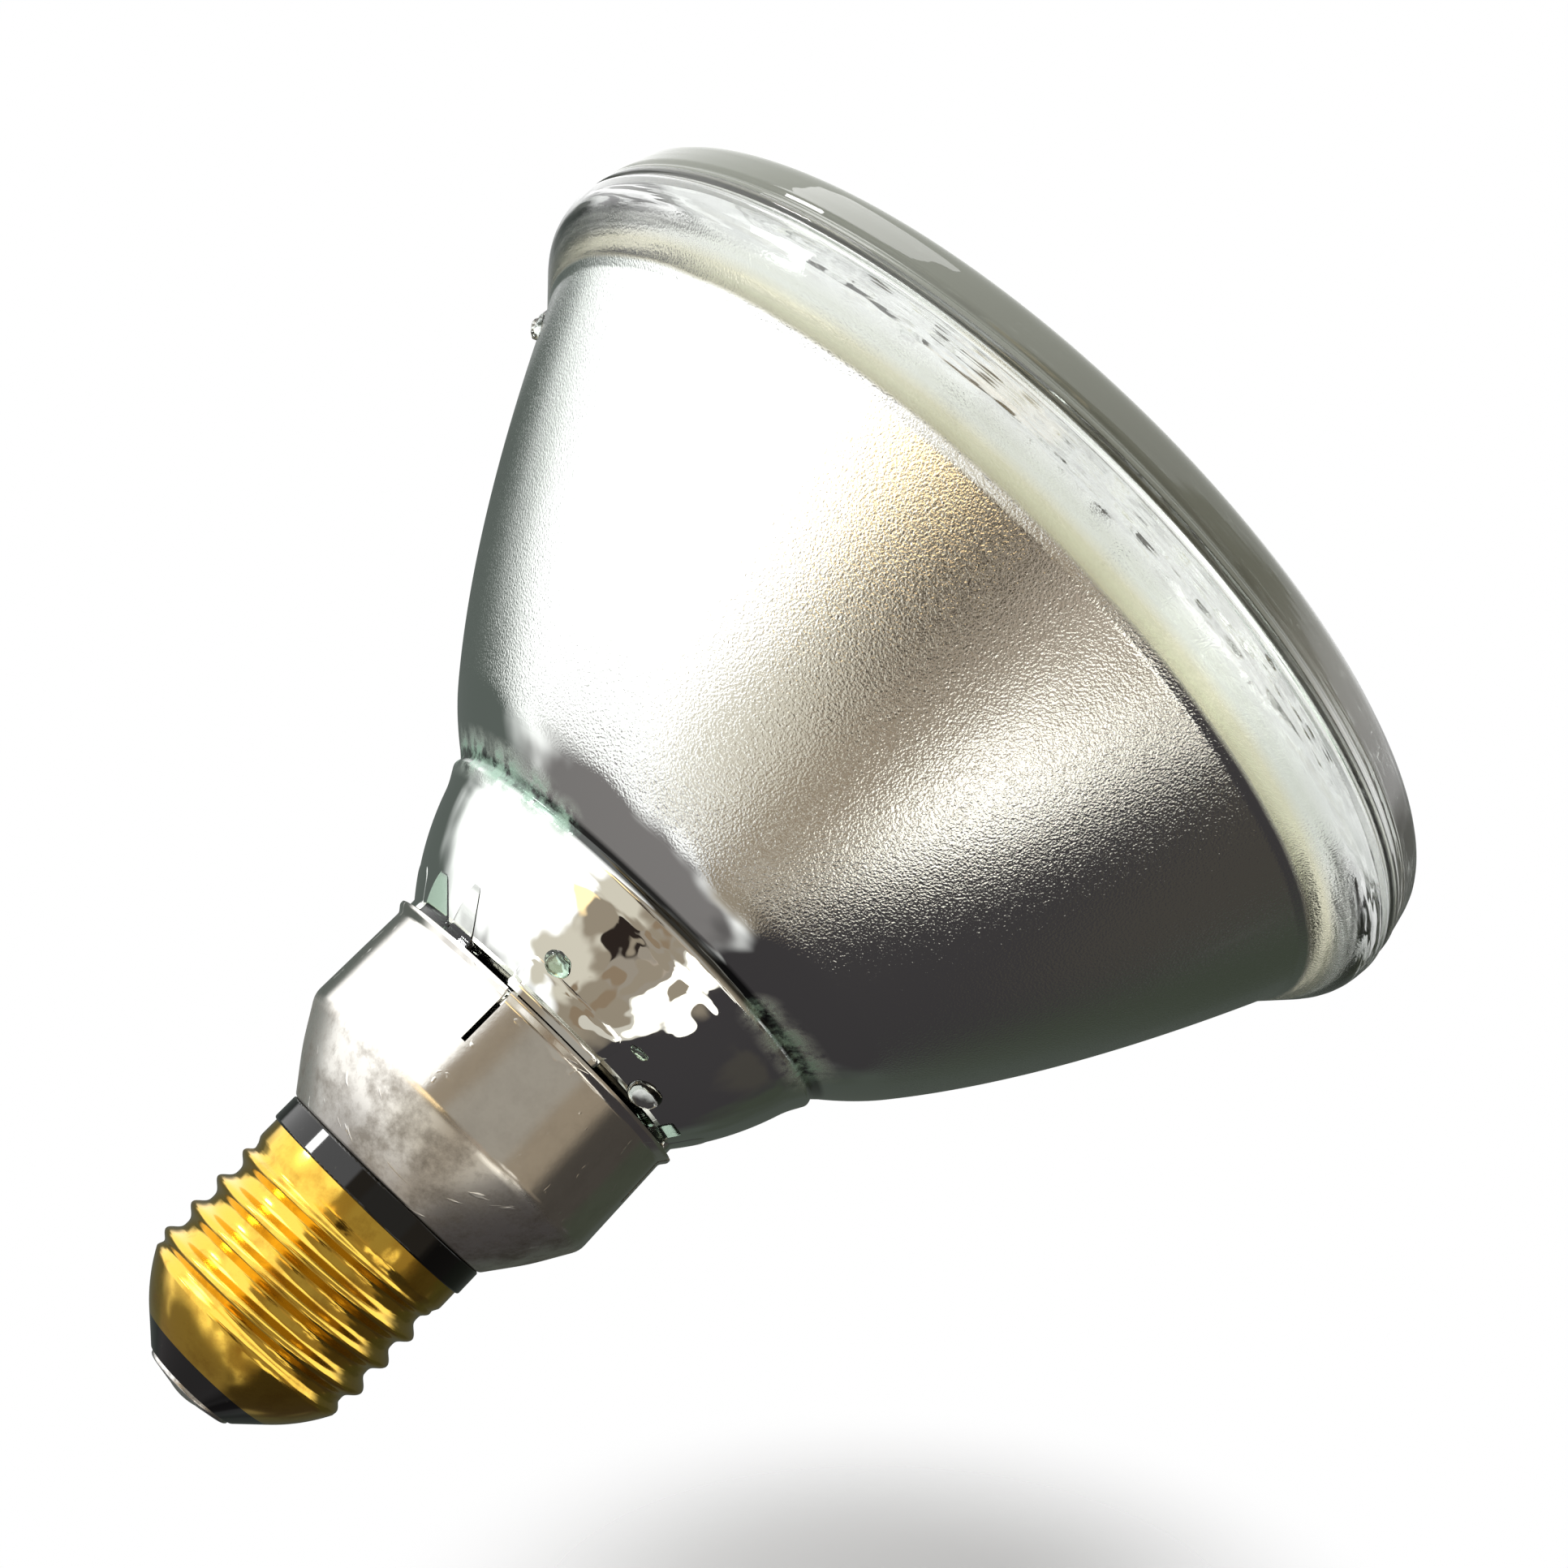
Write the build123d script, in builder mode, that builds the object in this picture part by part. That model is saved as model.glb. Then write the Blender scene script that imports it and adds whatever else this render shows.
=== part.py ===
from build123d import *
from math import cos, radians, sin, sqrt
import os

# Sealed-beam reflector lamp with a medium skirted screw base, in millimetres.
# It stands on its lens: Z runs from the lens crown up to the centre contact.

# Heights of the stack, from the lens crown upwards; the mirror gives the bowl's own height
dome_height = 10.9
lens_rim_height = 4.7
flange_height = 8.8
neck_height = 15.0
skirt_wall_height = 13.2
skirt_cone_height = 8.8
ring_band_height = 3.0
collar_height = 3.0
thread_length = 14.2
foot_height = 5.0
insulator_height = 2.4
contact_height = 1.0
solder_height = 0.5

# Front lens
rim_diameter = 120.65
seam_inset = 0.225
lens_edge_inset = 0.9
lens_edge_round = 1.4
crown_flat_radius = 12.0
lens_thickness = 3.6
rim_wall = 5.7
lens_step = 0.9
seam_bead = 0.75
seam_groove = 0.3

# Reflector glass
focal_length = 12.7
flange_reach = 8.325
mirror_neck_radius = 22.23
glass_wall = 3.0
flange_shoulder = 0.8
flange_slope_height = 4.6
flange_round = 1.2
waist_step = 1.7
waist_drop = 2.8
bulge_step = 3.4
bulge_drop = 7.0
neck_foot_gap = 1.65
heel_depth = 8.2
heel_round = 1.5
back_plate_thickness = 3.6
back_plate_round = 1.5
lug_quarters = 4
lug_depth = 5.6
lug_flare = 0.35
pad_start_angle = -90.0
pad_width = 15.0
pad_rise = 4.2
pad_round = 2.6
peak_width = 7.0
peak_rise = 5.2
nub_radius = 1.3
nub_angle = -80.0
nub_rise = 5.4
nub_sink = 1.9
splash_radius = 2.0
splash_angle = 1.0
splash_rise = 2.2
splash_sink = 0.8

# Aluminium skirt
skirt_sheet = 0.5
skirt_wall_radius = 19.15
skirt_taper = 0.2
skirt_lip_flare = 0.6
skirt_lip_height = 1.1
skirt_cone_bulge = 0.2
skirt_flange_bore = 10.8
slit_width = 0.55
slit_length = 6.7
slit_angle = -74.5
slit_count = 4

# Insulating ring
ring_radius = 13.25
ring_bore_radius = 8.6
ring_grip_radius = 12.2
ring_grip_height = 1.6
ring_spigot_height = 1.4
ring_round = 0.25
fit_clearance = 0.08

# Screw shell
thread_diameter = 26.2
thread_pitch = 3.629
thread_depth = 1.15
thread_runout = 1.2
thread_start_angle = -154.0
circles_per_turn = 8
shell_sheet = 0.32
collar_radius = 12.92
collar_neck_height = 0.6
foot_radius = 8.5
foot_bulge = 0.35

# Foot of the base
insulator_tip_radius = 5.8
insulator_bore_radius = 1.6
contact_radius = 5.3
contact_edge = 0.5
contact_plateau_radius = 3.0
eyelet_radius = 1.1
solder_radius = 2.6

# Capsule and its mount
capsule_radius = 6.0
capsule_wall = 1.0
capsule_reach = 10.5
capsule_length = 19.0
pinch_width = 11.0
pinch_thickness = 3.2
pinch_length = 9.0
pinch_overlap = 3.0
coil_radius = 1.1
coil_turns = 11.5
coil_pitch = 0.85
coil_wire = 0.22
lead_wire = 0.35
lead_offset = 3.4
lead_bend = 0.8
foil_width = 2.6
foil_length = 5.0
foil_thickness = 0.12
pin_spacing = 5.2
pin_wire = 0.45
pin_length = 3.2
support_wire = 0.75
support_clearance = 0.6
support_bend = 2.0
support_socket = 3.0
weld_gap = 0.05

# Back of the bulb
ferrule_spacing = 17.0
ferrule_radius = 2.6
ferrule_flange_radius = 3.9
ferrule_flange = 0.5
ferrule_tail = 2.4
exhaust_radius = 2.6
exhaust_bore = 1.2
exhaust_length = 8.5
base_wire = 0.4
base_wire_bend = 3.0
lead_rise = 4.0
shell_lead_inset = 1.0

# Radii worked out from the sizes
rim_radius = rim_diameter / 2
seam_radius = rim_radius - seam_inset
lens_edge_radius = seam_radius - lens_edge_inset
seam_bore_radius = seam_radius - rim_wall
lens_step_radius = seam_bore_radius - lens_step
mirror_edge_radius = rim_radius - flange_reach
skirt_shoulder_radius = skirt_wall_radius + skirt_taper
skirt_bore_radius = skirt_wall_radius - skirt_sheet
neck_foot_radius = skirt_bore_radius - neck_foot_gap
lug_radius = skirt_wall_radius - weld_gap
thread_radius = (thread_diameter - thread_depth) / 2

# Heights worked out from the sizes
bowl_height = (mirror_edge_radius**2 - mirror_neck_radius**2) / (4 * focal_length)
seam_z = dome_height + lens_rim_height
bowl_z = seam_z + flange_height
groove_z = bowl_z + bowl_height
lip_z = groove_z + neck_height
shoulder_z = lip_z + skirt_wall_height
ring_z = shoulder_z + skirt_cone_height
shell_z = ring_z + ring_band_height
thread_z = shell_z + collar_height
foot_z = thread_z + thread_length
insulator_z = foot_z + foot_height
contact_z = insulator_z + insulator_height
plateau_z = contact_z + contact_height
tip_z = plateau_z + solder_height
heel_z = lip_z + heel_depth
back_z = heel_z - back_plate_thickness
vertex_z = bowl_z + mirror_edge_radius**2 / (4 * focal_length)
focus_z = vertex_z - focal_length


def mirror_radius(z):
    """Radius of the paraboloid at height z."""
    return sqrt(4 * focal_length * (vertex_z - z))


def mirror_slope(z):
    """Change of the paraboloid's radius with height."""
    return -2 * focal_length / mirror_radius(z)


def bowl_radius(z, wall):
    """Radius at height z of the surface that lies one wall outside the mirror."""
    return mirror_radius(z) + wall * sqrt(1 + mirror_slope(z) ** 2)


def bowl_curve(low_z, high_z, wall):
    """Control points of the parabola that lies one wall outside the mirror."""
    low_slope, high_slope = mirror_slope(low_z), mirror_slope(high_z)
    low_r, high_r = bowl_radius(low_z, wall), bowl_radius(high_z, wall)
    mid_z = (high_r - low_r + low_slope * low_z - high_slope * high_z) / (low_slope - high_slope)
    return (low_r, low_z), (low_r + low_slope * (mid_z - low_z), mid_z), (high_r, high_z)


def polar_spot(angle, radius, z):
    """Point at an angle, a radius and a height."""
    return radius * cos(radians(angle)), radius * sin(radians(angle)), z


def bulb_outline(low, high, radius):
    """Half outline of a tube with rounded ends, from low to high on the axis."""
    Line(high, low)
    TangentArc(low, (radius, low[1] + radius), tangent=(1, 0))
    Line((radius, low[1] + radius), (radius, high[1] - radius / 2))
    Line((radius, high[1] - radius / 2), (radius / 2, high[1]))
    Line((radius / 2, high[1]), high)


def wire(points, radius, bend):
    """Round wire along a bent route."""
    with BuildPart() as bent:
        with BuildLine() as route:
            FilletPolyline(*points, radius=bend)
        with BuildSketch(Plane(origin=route.line @ 0, z_dir=route.line % 0)):
            Circle(radius)
        sweep(path=route.line)
    return bent.part


def finish(part, name):
    """Label a piece and write it to its own file."""
    part.label = name
    export_step(part, f"parts/{name}.step")


os.makedirs("parts", exist_ok=True)

# Lens: dished pressed glass with an upstanding rim that is fused to the flange
with BuildPart() as lens:
    with BuildSketch(Plane.XZ):
        with BuildLine():
            Line((0, 0), (crown_flat_radius, 0))
            TangentArc((crown_flat_radius, 0), (lens_edge_radius, dome_height), tangent=(1, 0))
            Polyline(
                (lens_edge_radius, dome_height),
                (seam_radius - seam_groove, seam_z - 2 * seam_bead),
                (seam_radius - 2 * seam_groove, seam_z - seam_bead),
                (seam_radius, seam_z - seam_bead / 2),
                (seam_radius, seam_z),
                (seam_bore_radius, seam_z),
                (lens_step_radius, dome_height + lens_thickness / 2),
            )
            TangentArc((0, lens_thickness), (lens_step_radius, dome_height + lens_thickness / 2), tangent=(1, 0))
            Line((0, lens_thickness), (0, 0))
        make_face()
    revolve(axis=Axis.Z)
    fillet(lens.edges().filter_by_position(Axis.Z, dome_height - 0.01, dome_height + 0.01), lens_edge_round)
finish(lens.part, "lens")

# Corner points of the reflector glass
groove_radius = bowl_radius(groove_z, glass_wall)
waist = (groove_radius - waist_step, groove_z + waist_drop)
neck_bulge_radius = groove_radius - bulge_step
bulge_z = groove_z + bulge_drop
shoulder = (rim_radius - flange_shoulder / 2, bowl_z - flange_slope_height)
inner_foot = (neck_foot_radius - glass_wall, lip_z)
outer = bowl_curve(bowl_z, groove_z, glass_wall)
inner = bowl_curve(bowl_z, groove_z, 0)

# Lugs of the neck: wide pads and pointed peaks by turns, cut from one turned band
with BuildPart() as lugs:
    for quarter in range(lug_quarters):
        pad_angle = pad_start_angle + quarter * 360 / lug_quarters
        pad_plane = Plane((0, 0, lip_z), x_dir=(sin(radians(pad_angle)), -cos(radians(pad_angle)), 0),
                          z_dir=(cos(radians(pad_angle)), sin(radians(pad_angle)), 0))
        with BuildSketch(pad_plane):
            with Locations((0, (lug_depth - pad_rise) / 2)):
                Rectangle(pad_width, lug_depth + pad_rise)
            fillet(vertices().group_by(Axis.Z)[0], pad_round)
        peak_angle = pad_angle + 180 / lug_quarters
        peak_plane = Plane((0, 0, lip_z), x_dir=(sin(radians(peak_angle)), -cos(radians(peak_angle)), 0),
                           z_dir=(cos(radians(peak_angle)), sin(radians(peak_angle)), 0))
        with BuildSketch(peak_plane):
            with BuildLine():
                Polyline((0, -peak_rise), (peak_width / 2, 0), (peak_width / 2, lug_depth),
                         (-peak_width / 2, lug_depth), (-peak_width / 2, 0), close=True)
            make_face()
    extrude(amount=groove_radius)
    with BuildSketch(Plane.XZ):
        with BuildLine():
            Polyline(
                (lug_radius, lip_z),
                (skirt_bore_radius - fit_clearance, lip_z),
                (skirt_bore_radius - fit_clearance, lip_z + lug_depth),
                (neck_foot_radius - glass_wall / 2, lip_z + lug_depth),
                (neck_foot_radius - glass_wall / 2, lip_z),
                (neck_bulge_radius - glass_wall / 2, bulge_z),
                (neck_bulge_radius - fit_clearance, bulge_z),
            )
            Spline((neck_bulge_radius - fit_clearance, bulge_z),
                   (lug_radius + lug_flare, lip_z - pad_rise / 2), (lug_radius, lip_z))
        make_face()
    revolve(axis=Axis.Z, mode=Mode.INTERSECT)

# Reflector: flange, paraboloid bowl and neck in one pressing, with lugs that steady the skirt
with BuildPart() as reflector:
    with BuildSketch(Plane.XZ):
        with BuildLine():
            Polyline(
                (seam_bore_radius, seam_z),
                (seam_radius, seam_z),
                (seam_radius, seam_z + seam_bead / 2),
                (seam_radius - seam_groove, seam_z + seam_bead),
                (rim_radius, seam_z + 2 * seam_bead),
                shoulder,
                outer[0],
            )
            Bezier(*outer)
            Line(outer[2], waist)
            ThreePointArc(waist, (neck_bulge_radius, bulge_z), (neck_foot_radius, lip_z))
            Polyline(
                (neck_foot_radius, lip_z),
                (neck_foot_radius, heel_z),
                (0, heel_z),
                (0, back_z),
                (inner_foot[0], back_z),
                inner_foot,
            )
            ThreePointArc(inner_foot, (neck_bulge_radius - glass_wall, bulge_z), inner[2])
            Bezier(*inner)
            Line(inner[0], (seam_bore_radius, seam_z))
        make_face()
    revolve(axis=Axis.Z)
    edges = reflector.edges().filter_by(GeomType.CIRCLE)
    fillet(edges.filter_by_position(Axis.Z, shoulder[1] - 0.01, shoulder[1] + 0.01), flange_round)
    fillet(edges.filter_by_position(Axis.Z, heel_z - 0.01, heel_z + 0.01), heel_round)
    fillet(edges.filter_by_position(Axis.Z, back_z - 0.01, back_z + 0.01), back_plate_round)
    add(lugs.part)
    with Locations(polar_spot(nub_angle, neck_bulge_radius - nub_sink, lip_z - nub_rise)):
        Sphere(nub_radius)
    splash_z = bowl_z + splash_rise
    with Locations(polar_spot(splash_angle, bowl_radius(splash_z, glass_wall) - splash_sink, splash_z)):
        Sphere(splash_radius)
    with Locations((-ferrule_spacing / 2, 0, back_z), (ferrule_spacing / 2, 0, back_z)):
        Cylinder(ferrule_radius + weld_gap, back_plate_thickness, align=(Align.CENTER, Align.CENTER, Align.MIN),
                 mode=Mode.SUBTRACT)
    with Locations((0, 0, back_z)):
        Cylinder(exhaust_bore, back_plate_thickness, align=(Align.CENTER, Align.CENTER, Align.MIN),
                 mode=Mode.SUBTRACT)
finish(reflector.part, "reflector")

# Skirt: drawn aluminium sheet with a flared lip, slits and a flange turned in under the ring
with BuildPart() as skirt:
    with BuildSketch(Plane.XZ):
        with BuildLine():
            Polyline(
                (skirt_wall_radius + skirt_lip_flare, lip_z),
                (skirt_wall_radius + skirt_lip_flare, lip_z + skirt_lip_height / 3),
                (skirt_wall_radius, lip_z + skirt_lip_height),
                (skirt_shoulder_radius, shoulder_z),
            )
            cone_mid = ((skirt_shoulder_radius + ring_radius) / 2 + skirt_cone_bulge,
                        (shoulder_z + ring_z) / 2 + skirt_cone_bulge)
            ThreePointArc((skirt_shoulder_radius, shoulder_z), cone_mid, (ring_radius, ring_z))
            Line((ring_radius, ring_z), (skirt_flange_bore, ring_z))
            offset(amount=skirt_sheet, side=Side.LEFT)
        make_face()
    revolve(axis=Axis.Z)
    with BuildSketch(Plane.XY.offset(lip_z)):
        with PolarLocations(skirt_wall_radius, slit_count, start_angle=slit_angle):
            Rectangle(4 * skirt_sheet, slit_width)
    extrude(amount=slit_length, mode=Mode.SUBTRACT)
finish(skirt.part, "skirt")

# Insulating ring: black glass moulded round the skirt's flange, with a spigot for the shell
with BuildPart() as insulating_ring:
    with BuildSketch(Plane.XZ):
        with BuildLine():
            Polyline(
                (ring_bore_radius, ring_z - skirt_sheet - ring_grip_height),
                (ring_grip_radius, ring_z - skirt_sheet - ring_grip_height),
                (ring_grip_radius, ring_z - skirt_sheet),
                (skirt_flange_bore - fit_clearance, ring_z - skirt_sheet),
                (skirt_flange_bore - fit_clearance, ring_z),
                (ring_radius, ring_z),
                (ring_radius, shell_z),
                (collar_radius - shell_sheet - fit_clearance, shell_z),
                (collar_radius - shell_sheet - fit_clearance, shell_z + ring_spigot_height),
                (ring_bore_radius, shell_z + ring_spigot_height),
                close=True,
            )
        make_face()
    revolve(axis=Axis.Z)
    band = insulating_ring.edges().filter_by(GeomType.CIRCLE).group_by(SortBy.RADIUS)[-1]
    fillet(band, ring_round)
finish(insulating_ring.part, "insulating_ring")

# Screw shell: rolled brass sheet. Level circles whose centres follow a helix of half the thread
# depth make the knuckle thread, and the helix fades to the axis at both ends.
helix_steps = round(thread_length / thread_pitch * circles_per_turn)
helix_points = []
for step in range(helix_steps + 1):
    height = thread_length * step / helix_steps
    fade = min(1, height / thread_runout, (thread_length - height) / thread_runout)
    swing = thread_depth / 2 * fade * fade * (3 - 2 * fade)
    turn = radians(thread_start_angle + 360 * height / thread_pitch)
    helix_points.append((swing * cos(turn), swing * sin(turn), thread_z + height))


def thread_side(radius):
    """Wavy wall of the thread at one mean radius."""
    with BuildPart() as blank:
        for point in helix_points:
            with BuildSketch(Plane(point)):
                Circle(radius)
        loft()
    return blank.faces().filter_by(GeomType.PLANE, reverse=True)


foot_mid_z = foot_z + foot_height / 2
foot_mid_radius = (thread_radius + foot_radius) / 2 + foot_bulge
with BuildPart() as shell_ends:
    with BuildSketch(Plane.XZ):
        with BuildLine():
            Polyline(
                (thread_radius - shell_sheet, thread_z),
                (thread_radius, thread_z),
                (collar_radius, thread_z - collar_neck_height),
                (collar_radius, shell_z),
                (collar_radius - shell_sheet, shell_z),
                (collar_radius - shell_sheet, thread_z - collar_neck_height),
                close=True,
            )
        make_face()
        with BuildLine():
            ThreePointArc((thread_radius, foot_z), (foot_mid_radius, foot_mid_z), (foot_radius, insulator_z))
            Line((foot_radius, insulator_z), (foot_radius - shell_sheet, insulator_z))
            ThreePointArc((foot_radius - shell_sheet, insulator_z), (foot_mid_radius - shell_sheet, foot_mid_z),
                          (thread_radius - shell_sheet, foot_z))
            Line((thread_radius - shell_sheet, foot_z), (thread_radius, foot_z))
        make_face()
    revolve(axis=Axis.Z)
end_faces = shell_ends.faces()
joint_faces = end_faces.filter_by_position(Axis.Z, thread_z - weld_gap, thread_z + weld_gap)
joint_faces += end_faces.filter_by_position(Axis.Z, foot_z - weld_gap, foot_z + weld_gap)
shell_faces = [face for face in end_faces if face not in joint_faces]
shell_faces += thread_side(thread_radius) + thread_side(thread_radius - shell_sheet)
with BuildPart() as screw_shell:
    add(Solid(Shell(shell_faces)))
finish(screw_shell.part, "screw_shell")

# Base insulator: black glass cast in the foot of the shell, with a cone that stands out of it
cast_gap = shell_sheet + fit_clearance
with BuildPart() as base_insulator:
    with BuildSketch(Plane.XZ):
        with BuildLine():
            Polyline(
                (foot_radius - cast_gap, insulator_z),
                (foot_radius, insulator_z),
                (insulator_tip_radius, contact_z),
                (insulator_bore_radius, contact_z),
                (insulator_bore_radius, foot_z),
                (thread_radius - cast_gap, foot_z),
            )
            ThreePointArc((thread_radius - cast_gap, foot_z), (foot_mid_radius - cast_gap, foot_mid_z),
                          (foot_radius - cast_gap, insulator_z))
        make_face()
    revolve(axis=Axis.Z)
finish(base_insulator.part, "base_insulator")

# Centre contact: tinned disc with a raised middle and an eyelet hole
with BuildPart() as centre_contact:
    with BuildSketch(Plane.XZ):
        with BuildLine():
            Polyline(
                (eyelet_radius, plateau_z),
                (eyelet_radius, contact_z),
                (contact_radius, contact_z),
                (contact_radius, contact_z + contact_edge),
            )
            Line((contact_radius, contact_z + contact_edge), (contact_plateau_radius, plateau_z))
            Line((contact_plateau_radius, plateau_z), (eyelet_radius, plateau_z))
        make_face()
    revolve(axis=Axis.Z)
    fillet(centre_contact.edges().filter_by(GeomType.CIRCLE).group_by(Axis.Z)[1], contact_edge / 2)
finish(centre_contact.part, "centre_contact")

# Contact solder: dome on the contact with a stem through the eyelet
with BuildPart() as contact_solder:
    with BuildSketch(Plane.XZ):
        with BuildLine():
            Polyline(
                (0, tip_z),
                (0, contact_z),
                (eyelet_radius - fit_clearance, contact_z),
                (eyelet_radius - fit_clearance, plateau_z),
                (solder_radius, plateau_z),
            )
            TangentArc((0, tip_z), (solder_radius, plateau_z), tangent=(1, 0))
        make_face()
    revolve(axis=Axis.Z)
finish(contact_solder.part, "contact_solder")

# Filament: coiled tungsten wire on the axis, centred on the focus
coil_length = coil_turns * coil_pitch
coil_low = focus_z - coil_length / 2
coil_high = focus_z + coil_length / 2
with BuildPart() as filament:
    with BuildLine(Plane.XY.offset(coil_low)) as coil:
        Helix(coil_pitch, coil_length, coil_radius)
    with BuildSketch(Plane(origin=coil.line @ 0, z_dir=coil.line % 0)):
        Circle(coil_wire)
    sweep(path=coil.line, is_frenet=True)
finish(filament.part, "filament")

# Inner leads run from the ends of the coil to the foils; outer leads come out of the pinch
capsule_z = focus_z - capsule_reach
pinch_z = capsule_z + capsule_length
foil_z = pinch_z + (pinch_length - foil_length) / 2
pinch_end_z = pinch_z + pinch_length
pin_end_z = pinch_end_z + pin_length
tie = coil_wire + lead_wire + weld_gap
pin_x = pin_spacing / 2
knee_z = (coil_high + pinch_z) / 2
lead_routes = {
    "left": (
        (-coil_radius / 2, 0, coil_low - tie),
        (-lead_offset, 0, coil_low - tie),
        (-lead_offset, 0, knee_z),
        (-pin_x, 0, pinch_z),
        (-pin_x, 0, foil_z),
    ),
    "right": (
        (coil_radius / 2, 0, coil_high + tie),
        (pin_x, 0, coil_high + tie),
        (pin_x, 0, foil_z),
    ),
}
sealed = []
for side, sign in (("left", -1), ("right", 1)):
    route = lead_routes[side]
    inner_lead = wire(route, lead_wire, lead_bend)
    finish(inner_lead, f"inner_lead_{side}")
    with BuildPart() as foil:
        with Locations((sign * pin_x, 0, foil_z)):
            Box(foil_width, foil_thickness, foil_length, align=(Align.CENTER, Align.CENTER, Align.MIN))
    finish(foil.part, f"foil_{side}")
    with BuildPart(Plane.XY.offset(foil_z + foil_length)) as outer_lead:
        with Locations((sign * pin_x, 0)):
            Cylinder(pin_wire, pin_end_z - foil_z - foil_length, align=(Align.CENTER, Align.CENTER, Align.MIN))
    finish(outer_lead.part, f"outer_lead_{side}")
    sealed += [inner_lead, foil.part, outer_lead.part]

# Capsule: quartz bulb with a flat pinch that seals the leads and foils
with BuildPart() as capsule:
    with Locations((0, 0, pinch_z - pinch_overlap)):
        Box(pinch_width, pinch_thickness, pinch_length + pinch_overlap,
            align=(Align.CENTER, Align.CENTER, Align.MIN))
    fillet(capsule.edges().filter_by(Axis.Z), pinch_thickness / 3)
    with BuildSketch(Plane.XZ):
        with BuildLine():
            bulb_outline((0, capsule_z), (0, pinch_z), capsule_radius)
        make_face()
    revolve(axis=Axis.Z)
    with BuildSketch(Plane.XZ):
        with BuildLine():
            bulb_outline((0, capsule_z + capsule_wall), (0, pinch_z - capsule_wall), capsule_radius - capsule_wall)
        make_face()
    revolve(axis=Axis.Z, mode=Mode.SUBTRACT)
    add(sealed, mode=Mode.SUBTRACT)
finish(capsule.part, "capsule")

# Ferrules sealed through the back of the glass, and the thick wires that carry the capsule
for side, sign in (("left", -1), ("right", 1)):
    ferrule_x = sign * ferrule_spacing / 2
    with BuildPart(Plane.XY.offset(back_z - ferrule_flange)) as ferrule:
        with Locations((ferrule_x, 0)):
            Cylinder(ferrule_flange_radius, ferrule_flange, align=(Align.CENTER, Align.CENTER, Align.MIN))
            Cylinder(ferrule_radius, ferrule_flange + back_plate_thickness + ferrule_tail,
                     align=(Align.CENTER, Align.CENTER, Align.MIN))
            with Locations((0, 0, support_socket / 2)):
                Cylinder(support_wire + weld_gap, support_socket, mode=Mode.SUBTRACT)
    finish(ferrule.part, f"ferrule_{side}")
    drop_z = pinch_end_z + support_clearance + support_wire
    route = (
        (ferrule_x, 0, back_z - ferrule_flange + support_socket),
        (ferrule_x, 0, drop_z),
        (sign * (pin_x + pin_wire + weld_gap), 0, drop_z),
    )
    finish(wire(route, support_wire, support_bend), f"support_wire_{side}")

# Exhaust tube: tipped-off glass stub on the back of the bulb
with BuildPart() as exhaust_tube:
    with BuildSketch(Plane.XZ):
        with BuildLine():
            Polyline((exhaust_bore, heel_z + exhaust_length / 2), (exhaust_bore, heel_z), (exhaust_radius, heel_z),
                     (exhaust_radius, heel_z + exhaust_length - exhaust_radius))
            TangentArc((exhaust_radius, heel_z + exhaust_length - exhaust_radius),
                       (0, heel_z + exhaust_length), tangent=(0, 1))
            Line((0, heel_z + exhaust_length), (0, heel_z + exhaust_length / 2 + exhaust_bore))
            Line((0, heel_z + exhaust_length / 2 + exhaust_bore), (exhaust_bore, heel_z + exhaust_length / 2))
        make_face()
    revolve(axis=Axis.Z)
finish(exhaust_tube.part, "exhaust_tube")

# Wires in the base: one to the centre contact and one to the collar of the screw shell
tail_z = heel_z + ferrule_tail
centre_route = (
    (-ferrule_spacing / 2, 0, tail_z),
    (-ferrule_spacing / 2, 0, tail_z + lead_rise),
    (0, 0, shell_z + ring_spigot_height),
    (0, 0, contact_z),
)
finish(wire(centre_route, base_wire, base_wire_bend), "centre_lead")
collar_z = (shell_z + ring_spigot_height + thread_z - collar_neck_height) / 2
shell_route = (
    (ferrule_spacing / 2, 0, tail_z),
    (ferrule_spacing / 2, 0, tail_z + lead_rise),
    (ring_bore_radius - shell_lead_inset, 0, ring_z - ring_grip_height),
    (ring_bore_radius - shell_lead_inset, 0, collar_z),
    (collar_radius - shell_sheet - weld_gap, 0, collar_z),
)
finish(wire(shell_route, base_wire, shell_lead_inset), "shell_lead")
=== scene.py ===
"""Looks of a sealed reflector lamp: silvered glass bulb, clear lens, aluminium skirt and brass screw base."""

import logging
from dataclasses import dataclass
from enum import Enum
from math import cos, pi, radians, sin, sqrt

import bmesh
import bpy
from mathutils import Matrix, Vector


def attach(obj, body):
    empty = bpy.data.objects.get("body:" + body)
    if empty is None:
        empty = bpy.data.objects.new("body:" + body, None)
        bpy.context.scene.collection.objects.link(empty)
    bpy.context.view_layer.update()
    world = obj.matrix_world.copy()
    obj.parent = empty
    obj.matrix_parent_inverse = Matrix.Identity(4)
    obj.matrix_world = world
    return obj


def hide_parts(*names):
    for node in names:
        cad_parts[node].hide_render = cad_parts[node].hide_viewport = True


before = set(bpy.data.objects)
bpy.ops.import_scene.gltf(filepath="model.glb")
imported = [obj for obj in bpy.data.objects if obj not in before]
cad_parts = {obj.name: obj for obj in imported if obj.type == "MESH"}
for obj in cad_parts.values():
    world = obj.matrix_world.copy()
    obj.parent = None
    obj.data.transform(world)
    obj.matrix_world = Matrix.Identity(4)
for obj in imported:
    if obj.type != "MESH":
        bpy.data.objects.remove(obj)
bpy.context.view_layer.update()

log = logging.getLogger("lamp")

MM = 0.001
LAMP_BODY = "root"
ROUNDING_STEPS = 4

Spot = tuple[float, float]
Corner = tuple[float, float, float]
Colour = tuple[float, float, float, float]


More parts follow.
